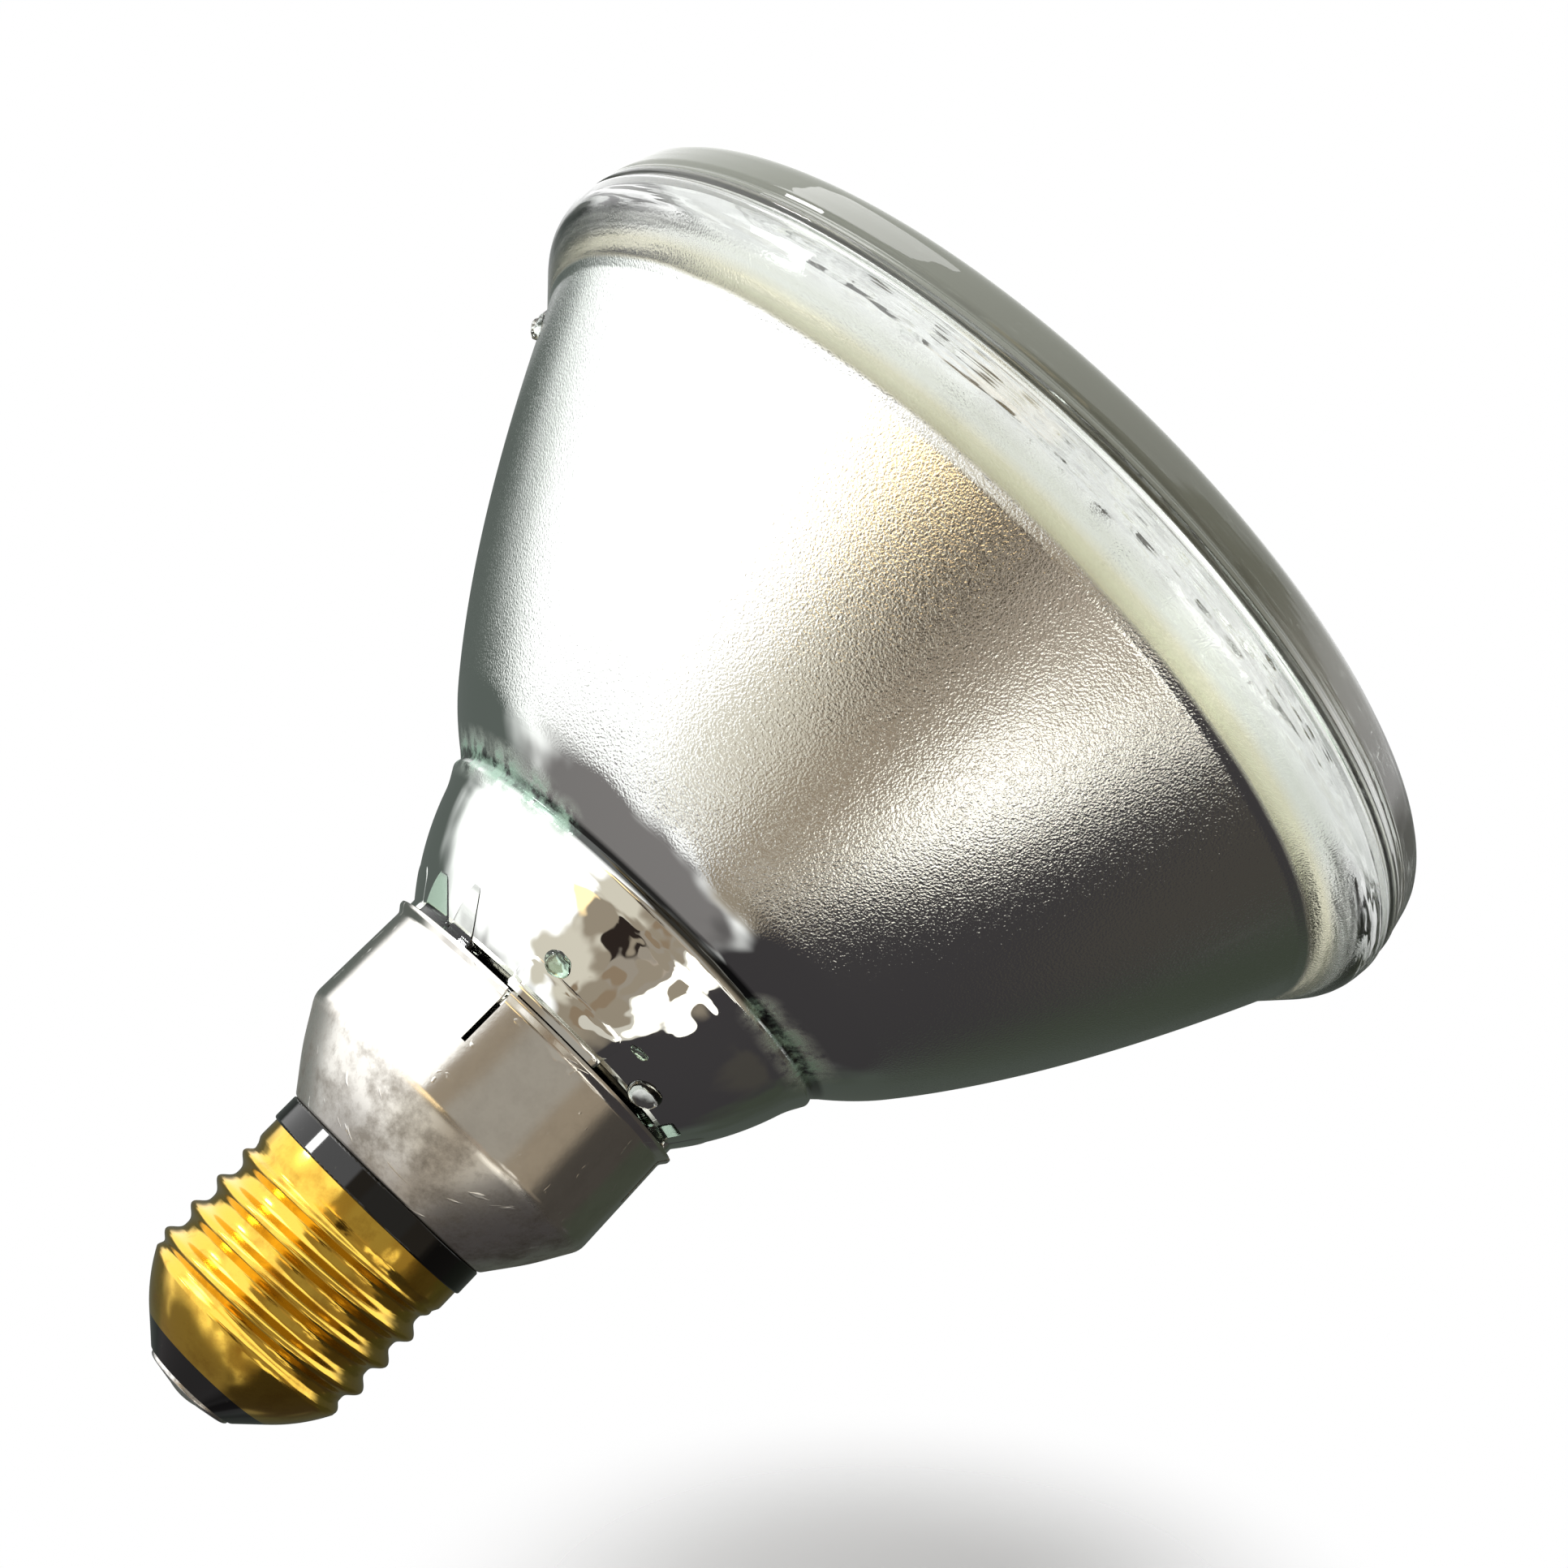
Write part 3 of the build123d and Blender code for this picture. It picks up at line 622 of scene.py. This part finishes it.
@dataclass
class GlassBulb:
    """The fused glass envelope: clear lens and rim, silvered bowl and neck, and the glass lumps on them."""

    rim_radius: float = 60.325
    seam_z: float = 15.6
    seam_radius: float = 60.1
    seam_bore: float = 54.4
    dome_z: float = 10.9
    crown_flat: float = 12.0
    lens_edge: float = 59.2
    lens_wall: float = 3.6
    bowl_z: float = 24.4
    groove_z: float = 67.9
    lip_z: float = 82.9
    heel_z: float = 91.1
    focal_length: float = 12.7
    mirror_edge: float = 52.0
    wall: float = 3.0
    lug_high: float = 84.6
    sunk: float = 0.35
    turn_steps: int = 240

    def mirror_radius(self, z: float) -> float:
        """Radius of the mirror's paraboloid at a height."""
        vertex = self.bowl_z + self.mirror_edge**2 / (4 * self.focal_length)
        return sqrt(4 * self.focal_length * (vertex - z))

    def bowl_radius(self, z: float, wall: float) -> float:
        """Radius at a height of the surface one wall outside the mirror."""
        slope = -2 * self.focal_length / self.mirror_radius(z)
        return self.mirror_radius(z) + wall * sqrt(1 + slope**2)

    def bowl_run(self, wall: float, high: float, steps: int) -> list[Spot]:
        """Points of the bowl from the flange to a height, one wall outside the mirror."""
        heights = [self.bowl_z + (high - self.bowl_z) * k / steps for k in range(steps + 1)]
        return [(self.bowl_radius(z, wall), z) for z in heights]

    def neck_marks(self, wall: float) -> tuple[Spot, Spot, Spot]:
        """Waist, bulge and foot of the neck, one wall inside its outer face."""
        waist, bulge = (25.085 - wall, self.lip_z - 12.2), (23.385 - wall, self.lip_z - 8.0)
        return waist, bulge, (18.0 - wall, self.lip_z)

    def neck_radius(self, z: float) -> float:
        """Radius of the neck's outer face at a height."""
        centre, radius = circle_through(*self.neck_marks(0))
        return centre.x + sqrt(radius**2 - (min(z, self.lip_z) - centre.y) ** 2)

    def build_lens(self, glass: bpy.types.Material) -> None:
        """Dished lens with an upstanding rim and a pebbled inner face."""
        depth = self.dome_z
        half = self.lens_edge - self.crown_flat
        radius = (half**2 + depth**2) / (2 * depth)
        outer = [(0.0, 0.0)]
        steps = 40
        for k in range(steps + 1):
            r = self.crown_flat + half * k / steps
            outer.append((r, radius - sqrt(radius**2 - (r - self.crown_flat) ** 2)))
        rim = trace([
            (outer[-2][0], outer[-2][1], 0),
            (self.lens_edge, self.dome_z, 1.1),
            (self.seam_radius - 0.3, self.seam_z - 1.5, 0.25),
            (self.seam_radius - 0.6, self.seam_z - 0.8, 0.3),
            (self.seam_radius, self.seam_z - 0.45, 0.25),
            (self.seam_radius - 0.05, self.seam_z + 0.1, 0),
            (self.seam_bore + 0.05, self.seam_z + 0.1, 0),
            (53.5, self.dome_z + self.lens_wall / 2, 1.2),
            (52.0, self.dome_z + self.lens_wall / 2 - 0.6, 0),
        ])[1:-1]
        inner_edge = rim[-1]
        inner_depth = inner_edge[1] - self.lens_wall
        inner_radius = (inner_edge[0] ** 2 + inner_depth**2) / (2 * inner_depth)
        inner = []
        steps = 64
        for k in range(1, steps + 1):
            r = inner_edge[0] * (1 - k / steps)
            inner.append((r, self.lens_wall + inner_radius - sqrt(inner_radius**2 - r**2)))
        piece = spin_outline("front_lens", outer[:-1] + rim + inner, self.turn_steps)
        shape = bmesh.from_edit_mesh(piece.data)
        inside = [v.index for v in shape.verts
                  if v.co.xy.length < 46 * MM and v.co.z > (self.lens_wall - 0.5) * MM and v.normal.z > 0.5]
        bpy.ops.object.mode_set(mode="OBJECT")
        pebbled = piece.vertex_groups.new(name="pebbled")
        pebbled.add(inside, 1.0, "REPLACE")
        pebbles = bpy.data.textures.new("lens_pebbles", "VORONOI")
        pebbles.noise_scale = 4.5 * MM
        press = piece.modifiers.new("press", "DISPLACE")
        press.texture = pebbles
        press.texture_coords = "LOCAL"
        press.vertex_group = pebbled.name
        press.direction = "Z"
        press.strength = -0.7 * MM
        press.mid_level = 0.0
        bpy.ops.object.modifier_apply(modifier=press.name)
        piece.vertex_groups.clear()
        settle(piece, glass, Slot.CLEAR_GLASS, "lens")

    def build_reflector(self, silvered: bpy.types.Material) -> None:
        """Flange, bowl, groove and neck of the silvered pressing."""
        outer = [(r - 0.75 * max(0, (z - self.groove_z + 6.0) / 5.0) ** 2, z)
                 for r, z in self.bowl_run(self.wall, self.groove_z - 1.0, 84)]
        inner = self.bowl_run(0, self.groove_z, 40)
        flange = trace([
            (self.seam_bore, self.seam_z, 0),
            (self.seam_radius, self.seam_z, 0),
            (self.seam_radius, self.seam_z + 0.45, 0.2),
            (self.seam_radius - 0.45, self.seam_z + 0.8, 0.3),
            (self.rim_radius, self.seam_z + 1.5, 0.4),
            (self.rim_radius - 0.4, self.bowl_z - 4.6, 1.3),
            (*outer[1], 0.25),
            (*outer[2], 0),
        ])[:-1]
        neck = arc(*self.neck_marks(0), 32)
        groove = trace([
            (*outer[-2], 0),
            (*outer[-1], 0.2),
            (26.05, self.groove_z - 0.1, 0.35),
            (26.3, self.groove_z + 0.75, 0.3),
            (*neck[0], 0.9),
            (*neck[2], 0),
        ])[1:-1]
        back = trace([
            (17.0, self.lip_z, 0),
            (17.0, self.heel_z, 1.5),
            (0.0, self.heel_z, 0),
            (0.0, self.heel_z - 3.6, 0),
            (14.0, self.heel_z - 3.6, 1.5),
            (14.0, self.lip_z, 0),
        ])
        inner_marks = self.neck_marks(self.wall)
        inner_neck = arc(inner_marks[2], inner_marks[1], inner[-1], 24)[1:-1]
        outline = flange + outer[2:-1] + groove + neck[2:] + back[:-1] + inner_neck + inner[::-1]
        piece = spin_outline("silvered_reflector", outline, self.turn_steps, closed=True)
        settle(piece, silvered, Slot.SILVERED_GLASS, "reflector")

    def build_lug(self, lug: Lug, glass: bpy.types.Material, slot: Slot = Slot.CLEAR_GLASS) -> None:
        """Press one glass lug on the neck: a grid thickened in edit mode and wrapped round the axis.

        Args:
            lug: Place, size and form of the lug.
            glass: Its finish.
            slot: The record's slot for the finish, handed on to settle.
        """
        bpy.ops.mesh.primitive_grid_add(x_subdivisions=30, y_subdivisions=26, size=2)
        piece = bpy.context.object
        piece.name = piece.data.name = lug.name
        bpy.ops.object.mode_set(mode="EDIT")
        bpy.ops.mesh.select_all(action="SELECT")
        bpy.ops.mesh.extrude_region_move()
        shape = bmesh.from_edit_mesh(piece.data)
        for vert in shape.verts:
            along = (vert.co.y + 1) / 2
            z = lug.low + (self.lug_high - lug.low) * along
            edge = min(1, (1 - abs(vert.co.x)) / 0.22, along / 0.22)
            swell = sqrt(1 - (1 - edge) ** 2)
            face = min(self.neck_radius(z) + lug.proud + 2.6 * along**2, 18.95 if z < self.lip_z else 18.45)
            face = max(face, self.neck_radius(z) + 0.1)
            sunk = self.neck_radius(z) - self.sunk
            radius = sunk + swell * (face - sunk) if vert.select else sunk - self.sunk
            angle = radians(lug.angle + vert.co.x * lug.half_turn * lug.width(along))
            vert.co = Vector((cos(angle) * radius, sin(angle) * radius, z)) * MM
        bmesh.update_edit_mesh(piece.data)
        bpy.ops.mesh.select_all(action="SELECT")
        bpy.ops.mesh.normals_make_consistent(inside=False)
        settle(piece, glass, slot, smooth=50)

    def build_lump(self, lump: Lump, glass: bpy.types.Material) -> None:
        """Drop one lump of glass on the bulb: a ball pressed out of round and roughened."""
        bpy.ops.mesh.primitive_uv_sphere_add(segments=44, ring_count=26, radius=MM)
        piece = bpy.context.object
        piece.name = piece.data.name = lump.name
        bpy.ops.object.mode_set(mode="EDIT")
        bpy.ops.mesh.select_all(action="SELECT")
        bpy.ops.transform.resize(value=lump.half_sizes)
        bpy.ops.object.mode_set(mode="OBJECT")
        dents = bpy.data.textures.new(lump.name, "CLOUDS")
        dents.noise_scale = lump.dent_mm * MM
        press = piece.modifiers.new("press", "DISPLACE")
        press.texture = dents
        press.texture_coords = "LOCAL"
        press.strength = lump.dent_depth_mm * MM
        bpy.ops.object.modifier_apply(modifier=press.name)
        piece.rotation_euler = (0, 0, radians(lump.angle))
        piece.location = outward(lump.angle) * (lump.radius * MM)
        piece.location.z = lump.z * MM
        settle(piece, glass, Slot.CLEAR_GLASS, smooth=180)

    def build(self) -> None:
        """Build every piece of the bulb."""
        glass = PressedGlass().build()
        green = PressedGlass("pressed_green_glass", body="#C4DCCB", roughness=0.1).build()
        self.build_lens(glass)
        silvered = SilveredGlass().build()
        self.build_reflector(silvered)
        for number, angle in enumerate((-90, 0, 90, 180), start=1):
            pad = Lug(f"pad_{number}", angle, 20.5, 78.3, 0.3, LugForm.PAD)
            self.build_lug(pad, silvered, Slot.SILVERED_GLASS)
        for number, angle in enumerate((-31, 46, 136), start=1):
            self.build_lug(Lug(f"peak_{number}", angle, 12.0, 78.0, 0.9, LugForm.PEAK), green)
            self.build_lug(Lug(f"small_peak_{number}", angle - 16.5, 7.0, 77.0, 0.35, LugForm.PEAK), glass)
        self.build_lug(Lug("block", -149, 6, 80.2, 0.9, LugForm.PAD), green)
        self.build_lump(Lump("bead", -126.5, 19.2, 80.2, (1.5, 2.5, 2.0), 2.0, 0.3), glass)
        self.build_lump(Lump("chip", -112.5, 21.0, 78.3, (0.6, 1.5, 0.7), 0.7, 0.3), green)
        self.build_lump(Lump("nub", -80, 21.1, 77.6, (1.3, 1.8, 1.6), 1.0, 0.35), green)
        self.build_lump(Lump("splash", 1, 54.0, 26.6, (1.1, 1.3, 2.1), 1.1, 0.8), glass)
        dress("exhaust_tube", glass)


@dataclass
class SkirtedBase:
    """Aluminium skirt, insulating ring, screw shell and contact at the foot."""

    lip_z: float = 82.9
    shoulder_z: float = 96.1
    ring_z: float = 104.9
    wall_radius: float = 19.15
    shoulder_radius: float = 19.35
    ring_radius: float = 13.25
    flange_bore: float = 10.8
    sheet: float = 0.5
    lip_flare: float = 0.6
    slit_length: float = 6.7
    slit_angle: float = -74.5
    shell_z: float = 107.9
    thread_z: float = 110.9
    foot_z: float = 125.1
    insulator_z: float = 130.1
    collar_radius: float = 12.92
    mean_radius: float = 12.525
    root_radius: float = 11.95
    crest_rise: float = 1.15
    pitch: float = 3.629
    runout: float = 1.2
    thread_angle: float = -154.0
    foot_radius: float = 8.5
    brass_sheet: float = 0.32
    turn_steps: int = 216

    def build_skirt(self, metal: bpy.types.Material) -> None:
        """Drawn skirt with a flared lip and four slits."""
        outline = trace([
            (self.wall_radius + self.lip_flare, self.lip_z, 0),
            (self.wall_radius + self.lip_flare, self.lip_z + 0.35, 0.15),
            (self.wall_radius, self.lip_z + 1.1, 0.25),
            (self.wall_radius + 0.1, self.lip_z + self.slit_length, 0),
            (self.shoulder_radius, self.shoulder_z, 0.8),
            (16.5, 100.7, 1.5),
            (self.ring_radius, self.ring_z, 0.4),
            (self.flange_bore, self.ring_z, 0),
        ])
        step = 360 / self.turn_steps
        piece = spin_outline("skirt_shell", outline, self.turn_steps, self.slit_angle - step / 2)
        bpy.ops.mesh.select_all(action="DESELECT")
        bpy.ops.mesh.select_mode(type="FACE")
        shape = bmesh.from_edit_mesh(piece.data)
        for face in shape.faces:
            place = face.calc_center_median()
            angle = Vector((1, 0)).angle_signed(place.xy) * -180 / pi
            offset = (angle - self.slit_angle + 45) % 90 - 45
            face.select_set(abs(offset) < step / 2 and place.z < (self.lip_z + self.slit_length) * MM)
        bmesh.update_edit_mesh(piece.data)
        bpy.ops.mesh.delete(type="FACE")
        thicken(piece, self.sheet)
        settle(piece, metal, Slot.ALUMINIUM, "skirt", smooth=40)

    def thread_radius(self, angle: float, z: float) -> float:
        """Outer radius of the brass at an angle and a height: narrow crests between wide hollow valleys."""
        climb = z - self.thread_z
        length = self.foot_z - self.thread_z
        fade = max(0, min(1, climb / self.runout, (length - climb) / self.runout))
        fade *= fade * (3 - 2 * fade)
        crest = radians(self.thread_angle + 360 * climb / self.pitch)
        radius = self.root_radius + self.crest_rise * ((1 + cos(angle - crest)) / 2) ** 1.7
        return self.mean_radius + fade * (radius - self.mean_radius)

    def build_screw_shell(self, metal: bpy.types.Material) -> None:
        """Brass shell: collar, rolled knuckle thread and rounded foot."""
        levels = 110
        step = (self.foot_z - self.thread_z) / levels
        collar = [(self.collar_radius, self.shell_z), (self.collar_radius, self.thread_z - 0.9),
                  (self.collar_radius - 0.05, self.thread_z - 0.6)]
        thread = [(self.mean_radius, self.thread_z + step * k) for k in range(levels + 1)]
        middle = ((self.mean_radius + self.foot_radius) / 2 + 0.35, (self.foot_z + self.insulator_z) / 2)
        foot = arc(thread[-1], middle, (self.foot_radius, self.insulator_z), 14)[1:]
        piece = spin_outline("brass_screw_shell", collar + thread + foot, 144)
        shape = bmesh.from_edit_mesh(piece.data)
        for vert in shape.verts:
            z = vert.co.z / MM
            if self.thread_z < z < self.foot_z:
                flat = vert.co.xy.normalized()
                around = Vector((1, 0)).angle_signed(flat)
                vert.co.xy = flat * self.thread_radius(-around, z) * MM
        bmesh.update_edit_mesh(piece.data)
        thicken(piece, self.brass_sheet)
        settle(piece, metal, Slot.BRASS, "screw_shell", smooth=60)

    def build(self) -> None:
        """Build and dress every piece of the base."""
        self.build_skirt(DrawnAluminium().build())
        black = BLACK_GLASS.build()
        dress("insulating_ring", black)
        dress("base_insulator", black)
        self.build_screw_shell(ROLLED_BRASS.build())
        dress("centre_contact", TINNED_BRASS.build())
        dress("contact_solder", SOFT_SOLDER.build())


@dataclass
class Burner:
    """Quartz capsule with its filament, leads and supports inside the bulb, and the wires in the base."""

    tungsten_nodes: tuple[str, ...] = ("filament", "inner_lead_left", "inner_lead_right")
    molybdenum_nodes: tuple[str, ...] = ("foil_left", "foil_right", "outer_lead_left", "outer_lead_right")
    nickel_nodes: tuple[str, ...] = (
        "support_wire_left", "support_wire_right", "ferrule_left", "ferrule_right",
        "centre_lead", "shell_lead",
    )

    def build(self) -> None:
        """Dress the solids of the burner."""
        finishes = (
            (FusedQuartz(), ("capsule",)),
            (DRAWN_TUNGSTEN, self.tungsten_nodes),
            (MOLYBDENUM_FOIL, self.molybdenum_nodes),
            (NICKEL_PLATED_WIRE, self.nickel_nodes),
        )
        for finish, nodes in finishes:
            material = finish.build()
            for node in nodes:
                dress(node, material)


@dataclass(frozen=True)
class Glow:
    """A patch of the room that the glass and the metal mirror.

    Args:
        direction: Where it lies, along the picture's right, up and back towards the camera.
        core: Angle from its middle up to which it is full, in degrees.
        edge: Angle from its middle at which it has faded out, in degrees.
        colour: Its sRGB hex colour.
        strength: Its brightness against that colour.
    """

    direction: Corner
    core: float
    edge: float
    colour: str
    strength: float = 1.0


@dataclass
class Studio:
    """Camera at the photograph's angle, a pale floor with a painted shadow under the lamp, and a room of soft
    light.
    """

    camera_place: Corner = (0.00822, -0.25137, 0.09915)
    right: Corner = (-0.71085, -0.17237, -0.68190)
    up: Corner = (0.70252, -0.12699, -0.70024)
    back: Corner = (0.03411, -0.97681, 0.21136)
    lens_mm: float = 53.85
    sensor_mm: float = 36.0
    window_strength: float = 1.6
    warp: float = 0.2
    lamp_middle: Corner = (0.0, 0.0, 0.07)
    floor_place: Corner = (0.012, -0.096, -0.275)
    floor_tilt: float = 6.0
    shadow_patch_fade: Spot = (0.015, 0.062)
    floor_shadow_paint: float = 0.47
    floor_glow: float = 0.04
    glows: tuple[Glow, ...] = (
        Glow((-0.50, -0.35, -0.80), 35, 50, "#656B67"),
        Glow((0.30, -0.50, -0.80), 30, 46, "#50554F"),
        Glow((-0.80, -0.60, -0.10), 25, 38, "#848080"),
        Glow((0.34, -0.48, 0.81), 60, 65, "#9D9180"),
        Glow((0.35, -0.05, 0.93), 16, 30, "#A8A39A"),
        Glow((-0.62, -0.36, 0.70), 8, 17, "#DDD6C6"),
        Glow((0.12, -1.0, 0.0), 33, 43, "#3F3C3E"),
        Glow((0.70, -0.68, -0.10), 20, 31, "#4A4642"),
        Glow((-0.36, 0.08, 0.93), 12, 16, "#FBDDA8", 1.8),
        Glow((-0.20, -0.24, 0.95), 11, 14, "#2E2622"),
        Glow((0.08, -0.38, 0.92), 11, 13, "#B5A798"),
        Glow((-0.18, -0.53, 0.83), 9, 12, "#A09689"),
        Glow((-0.38, -0.62, 0.68), 6, 10, "#93806A"),
        Glow((-0.18, -0.77, 0.61), 5, 8, "#D8D2C6"),
        Glow((-0.02, -0.77, 0.64), 6, 8, "#F6F1E7", 1.5),
        Glow((0.13, -0.73, 0.67), 6, 8, "#F6F1E7", 1.8),
        Glow((0.27, -0.67, 0.69), 6, 8, "#F6F1E7", 1.8),
        Glow((0.40, -0.60, 0.69), 6, 8, "#F6F1E7", 1.5),
        Glow((0.47, -0.62, -0.62), 8, 24, "#454A40"),
    )

    def axes(self, right: float, up: float, back: float) -> Vector:
        """Vector in the row frame from parts along the picture's right, up and back."""
        return Vector(self.right) * right + Vector(self.up) * up + Vector(self.back) * back

    def build_camera(self) -> None:
        """Place the camera where the photograph was taken from."""
        data = bpy.data.cameras.new("camera")
        data.lens = self.lens_mm
        data.sensor_width = self.sensor_mm
        data.clip_start, data.clip_end = 0.01, 20.0
        camera = bpy.data.objects.new("camera", data)
        bpy.context.scene.collection.objects.link(camera)
        turn = Matrix((self.right, self.up, self.back)).transposed()
        camera.matrix_world = Matrix.Translation(self.camera_place) @ turn.to_4x4()
        bpy.context.scene.camera = camera

    def build_world(self) -> None:
        """Room round the lamp: one bright window side, with the duller parts of the room laid over it."""
        world = bpy.data.worlds.new("room")
        bpy.context.scene.world = world
        world.use_nodes = True
        tree = world.node_tree
        tree.nodes.clear()
        plain = add_node(tree, "TexCoord").outputs["Generated"]
        clutter = add_node(tree, "TexNoise", {"Scale": 4.5, "Detail": 1.5, "Vector": plain})
        shift = add_node(tree, "VectorMath", {
            0: clutter.outputs["Color"], 1: (0.5, 0.5, 0.5)}, operation="SUBTRACT")
        way = add_node(tree, "VectorMath", {
            0: shift, 1: [self.warp] * 3, 2: plain}, operation="MULTIPLY_ADD")
        layer = [self.window_strength] * 3 + [1.0]
        for glow in self.glows:
            aim = self.axes(*glow.direction).normalized()
            nearness = add_node(tree, "VectorMath", {1: aim, 0: way}, operation="DOT_PRODUCT")
            mask = add_node(tree, "MapRange", {
                "From Min": cos(radians(glow.edge)), "From Max": cos(radians(glow.core)), "Value": nearness},
                interpolation_type="SMOOTHSTEP")
            shade = [part * glow.strength for part in linear(glow.colour)[:3]] + [1.0]
            layer = add_node(tree, "Mix", {"B": shade, "Factor": mask, "A": layer}, data_type="RGBA")
        room = add_node(tree, "Background", {"Color": layer})
        backdrop = add_node(tree, "Background", {"Color": (1.0, 1.0, 1.0, 1.0), "Strength": 1.0})
        rays = add_node(tree, "LightPath")
        behind = add_node(tree, "VectorMath", {1: self.back, 0: way}, operation="DOT_PRODUCT")
        away = add_node(tree, "MapRange", {
            "From Min": 0.1, "From Max": -0.4, "Value": behind}, interpolation_type="SMOOTHSTEP")
        through = add_node(tree, "Math", {
            0: rays.outputs["Is Transmission Ray"], 1: away}, operation="MULTIPLY")
        seen = add_node(tree, "Math", {0: rays.outputs["Is Camera Ray"], 1: through}, operation="MAXIMUM")
        mixed = add_node(tree, "MixShader", {"Fac": seen, 1: room, 2: backdrop})
        add_node(tree, "OutputWorld", {"Surface": mixed})

    def build_light(self, name: str, way: Corner, size: float, energy: float) -> None:
        """Hang one square light.

        Args:
            name: Name of the light.
            way: Where it hangs from the lamp, along the picture's right, up and back, in metres.
            size: Length of its side in metres.
            energy: Its power in watts.
        """
        data = bpy.data.lights.new(name, "AREA")
        data.shape = "SQUARE"
        data.size = size
        data.energy = energy
        light = bpy.data.objects.new(name, data)
        bpy.context.scene.collection.objects.link(light)
        offset = self.axes(*way)
        spot = Vector(self.lamp_middle) + offset
        light.matrix_world = Matrix.Translation(spot) @ offset.to_track_quat("Z", "Y").to_matrix().to_4x4()

    def build_floor(self) -> None:
        """Floor under the lamp, which keeps its cast shadow and carries a grey painted shadow in a patch that
        fades into the backdrop.
        """
        bpy.ops.mesh.primitive_grid_add(x_subdivisions=8, y_subdivisions=8, size=1.6)
        floor = bpy.context.object
        floor.name = "floor"
        tilt = radians(self.floor_tilt)
        normal = self.axes(0, cos(tilt), sin(tilt)).normalized()
        spot = Vector(self.camera_place) + self.axes(*self.floor_place)
        floor.matrix_world = Matrix.Translation(spot) @ normal.to_track_quat("Z", "Y").to_matrix().to_4x4()
        material, tree, place = new_material("floor_with_painted_shadow")
        # Painted shadow: the floor's grey paint darkens a patch under the lamp on top of its cast shadow,
        # fading out to clear.
        distance = add_node(tree, "VectorMath", {0: place}, operation="LENGTH")
        near = add_node(tree, "MapRange", {
            "From Min": self.shadow_patch_fade[0], "From Max": self.shadow_patch_fade[1], "To Min": 1.0, "To Max": 0.0,
            "Value": distance}, interpolation_type="SMOOTHSTEP")
        rays = add_node(tree, "LightPath")
        facing = add_node(tree, "NewGeometry")
        front = add_node(tree, "Math", {0: 1.0, 1: facing.outputs["Backfacing"]}, operation="SUBTRACT")
        shown = add_node(tree, "Math", {0: front, 1: near}, operation="MULTIPLY")
        shadow_paint = add_node(tree, "BsdfDiffuse", {"Color": [self.floor_shadow_paint] * 3 + [1.0]})
        glow = add_node(tree, "Emission", {
            "Color": (1.0, 1.0, 1.0, 1.0), "Strength": rays.outputs["Is Camera Ray"]})
        lit = add_node(tree, "MixShader", {"Fac": self.floor_glow, 1: shadow_paint, 2: glow})
        clear = add_node(tree, "BsdfTransparent")
        mixed = add_node(tree, "MixShader", {"Fac": shown, 1: clear, 2: lit})
        add_node(tree, "OutputMaterial", {"Surface": mixed})
        floor.data.materials.append(material)
        floor.visible_glossy = False
        floor.visible_diffuse = False
        floor.visible_transmission = False

    def build(self) -> None:
        """Build the camera, the room, the lights and the floor."""
        bpy.context.scene.view_settings.view_transform = "Standard"
        self.build_camera()
        self.build_world()
        self.build_light("window_pane", (-0.40, 0.41, 0.15), 0.1, 0.7)
        self.build_light("soft_box", (-0.06, 0.6, 0.06), 0.3, 1.2)
        self.build_floor()


def main() -> None:
    """Build the lamp piece by piece, then the studio round it."""
    logging.basicConfig(level=logging.INFO, format="%(name)s %(message)s")
    GlassBulb().build()
    SkirtedBase().build()
    Burner().build()
    Studio().build()


if __name__ == "__main__":
    main()
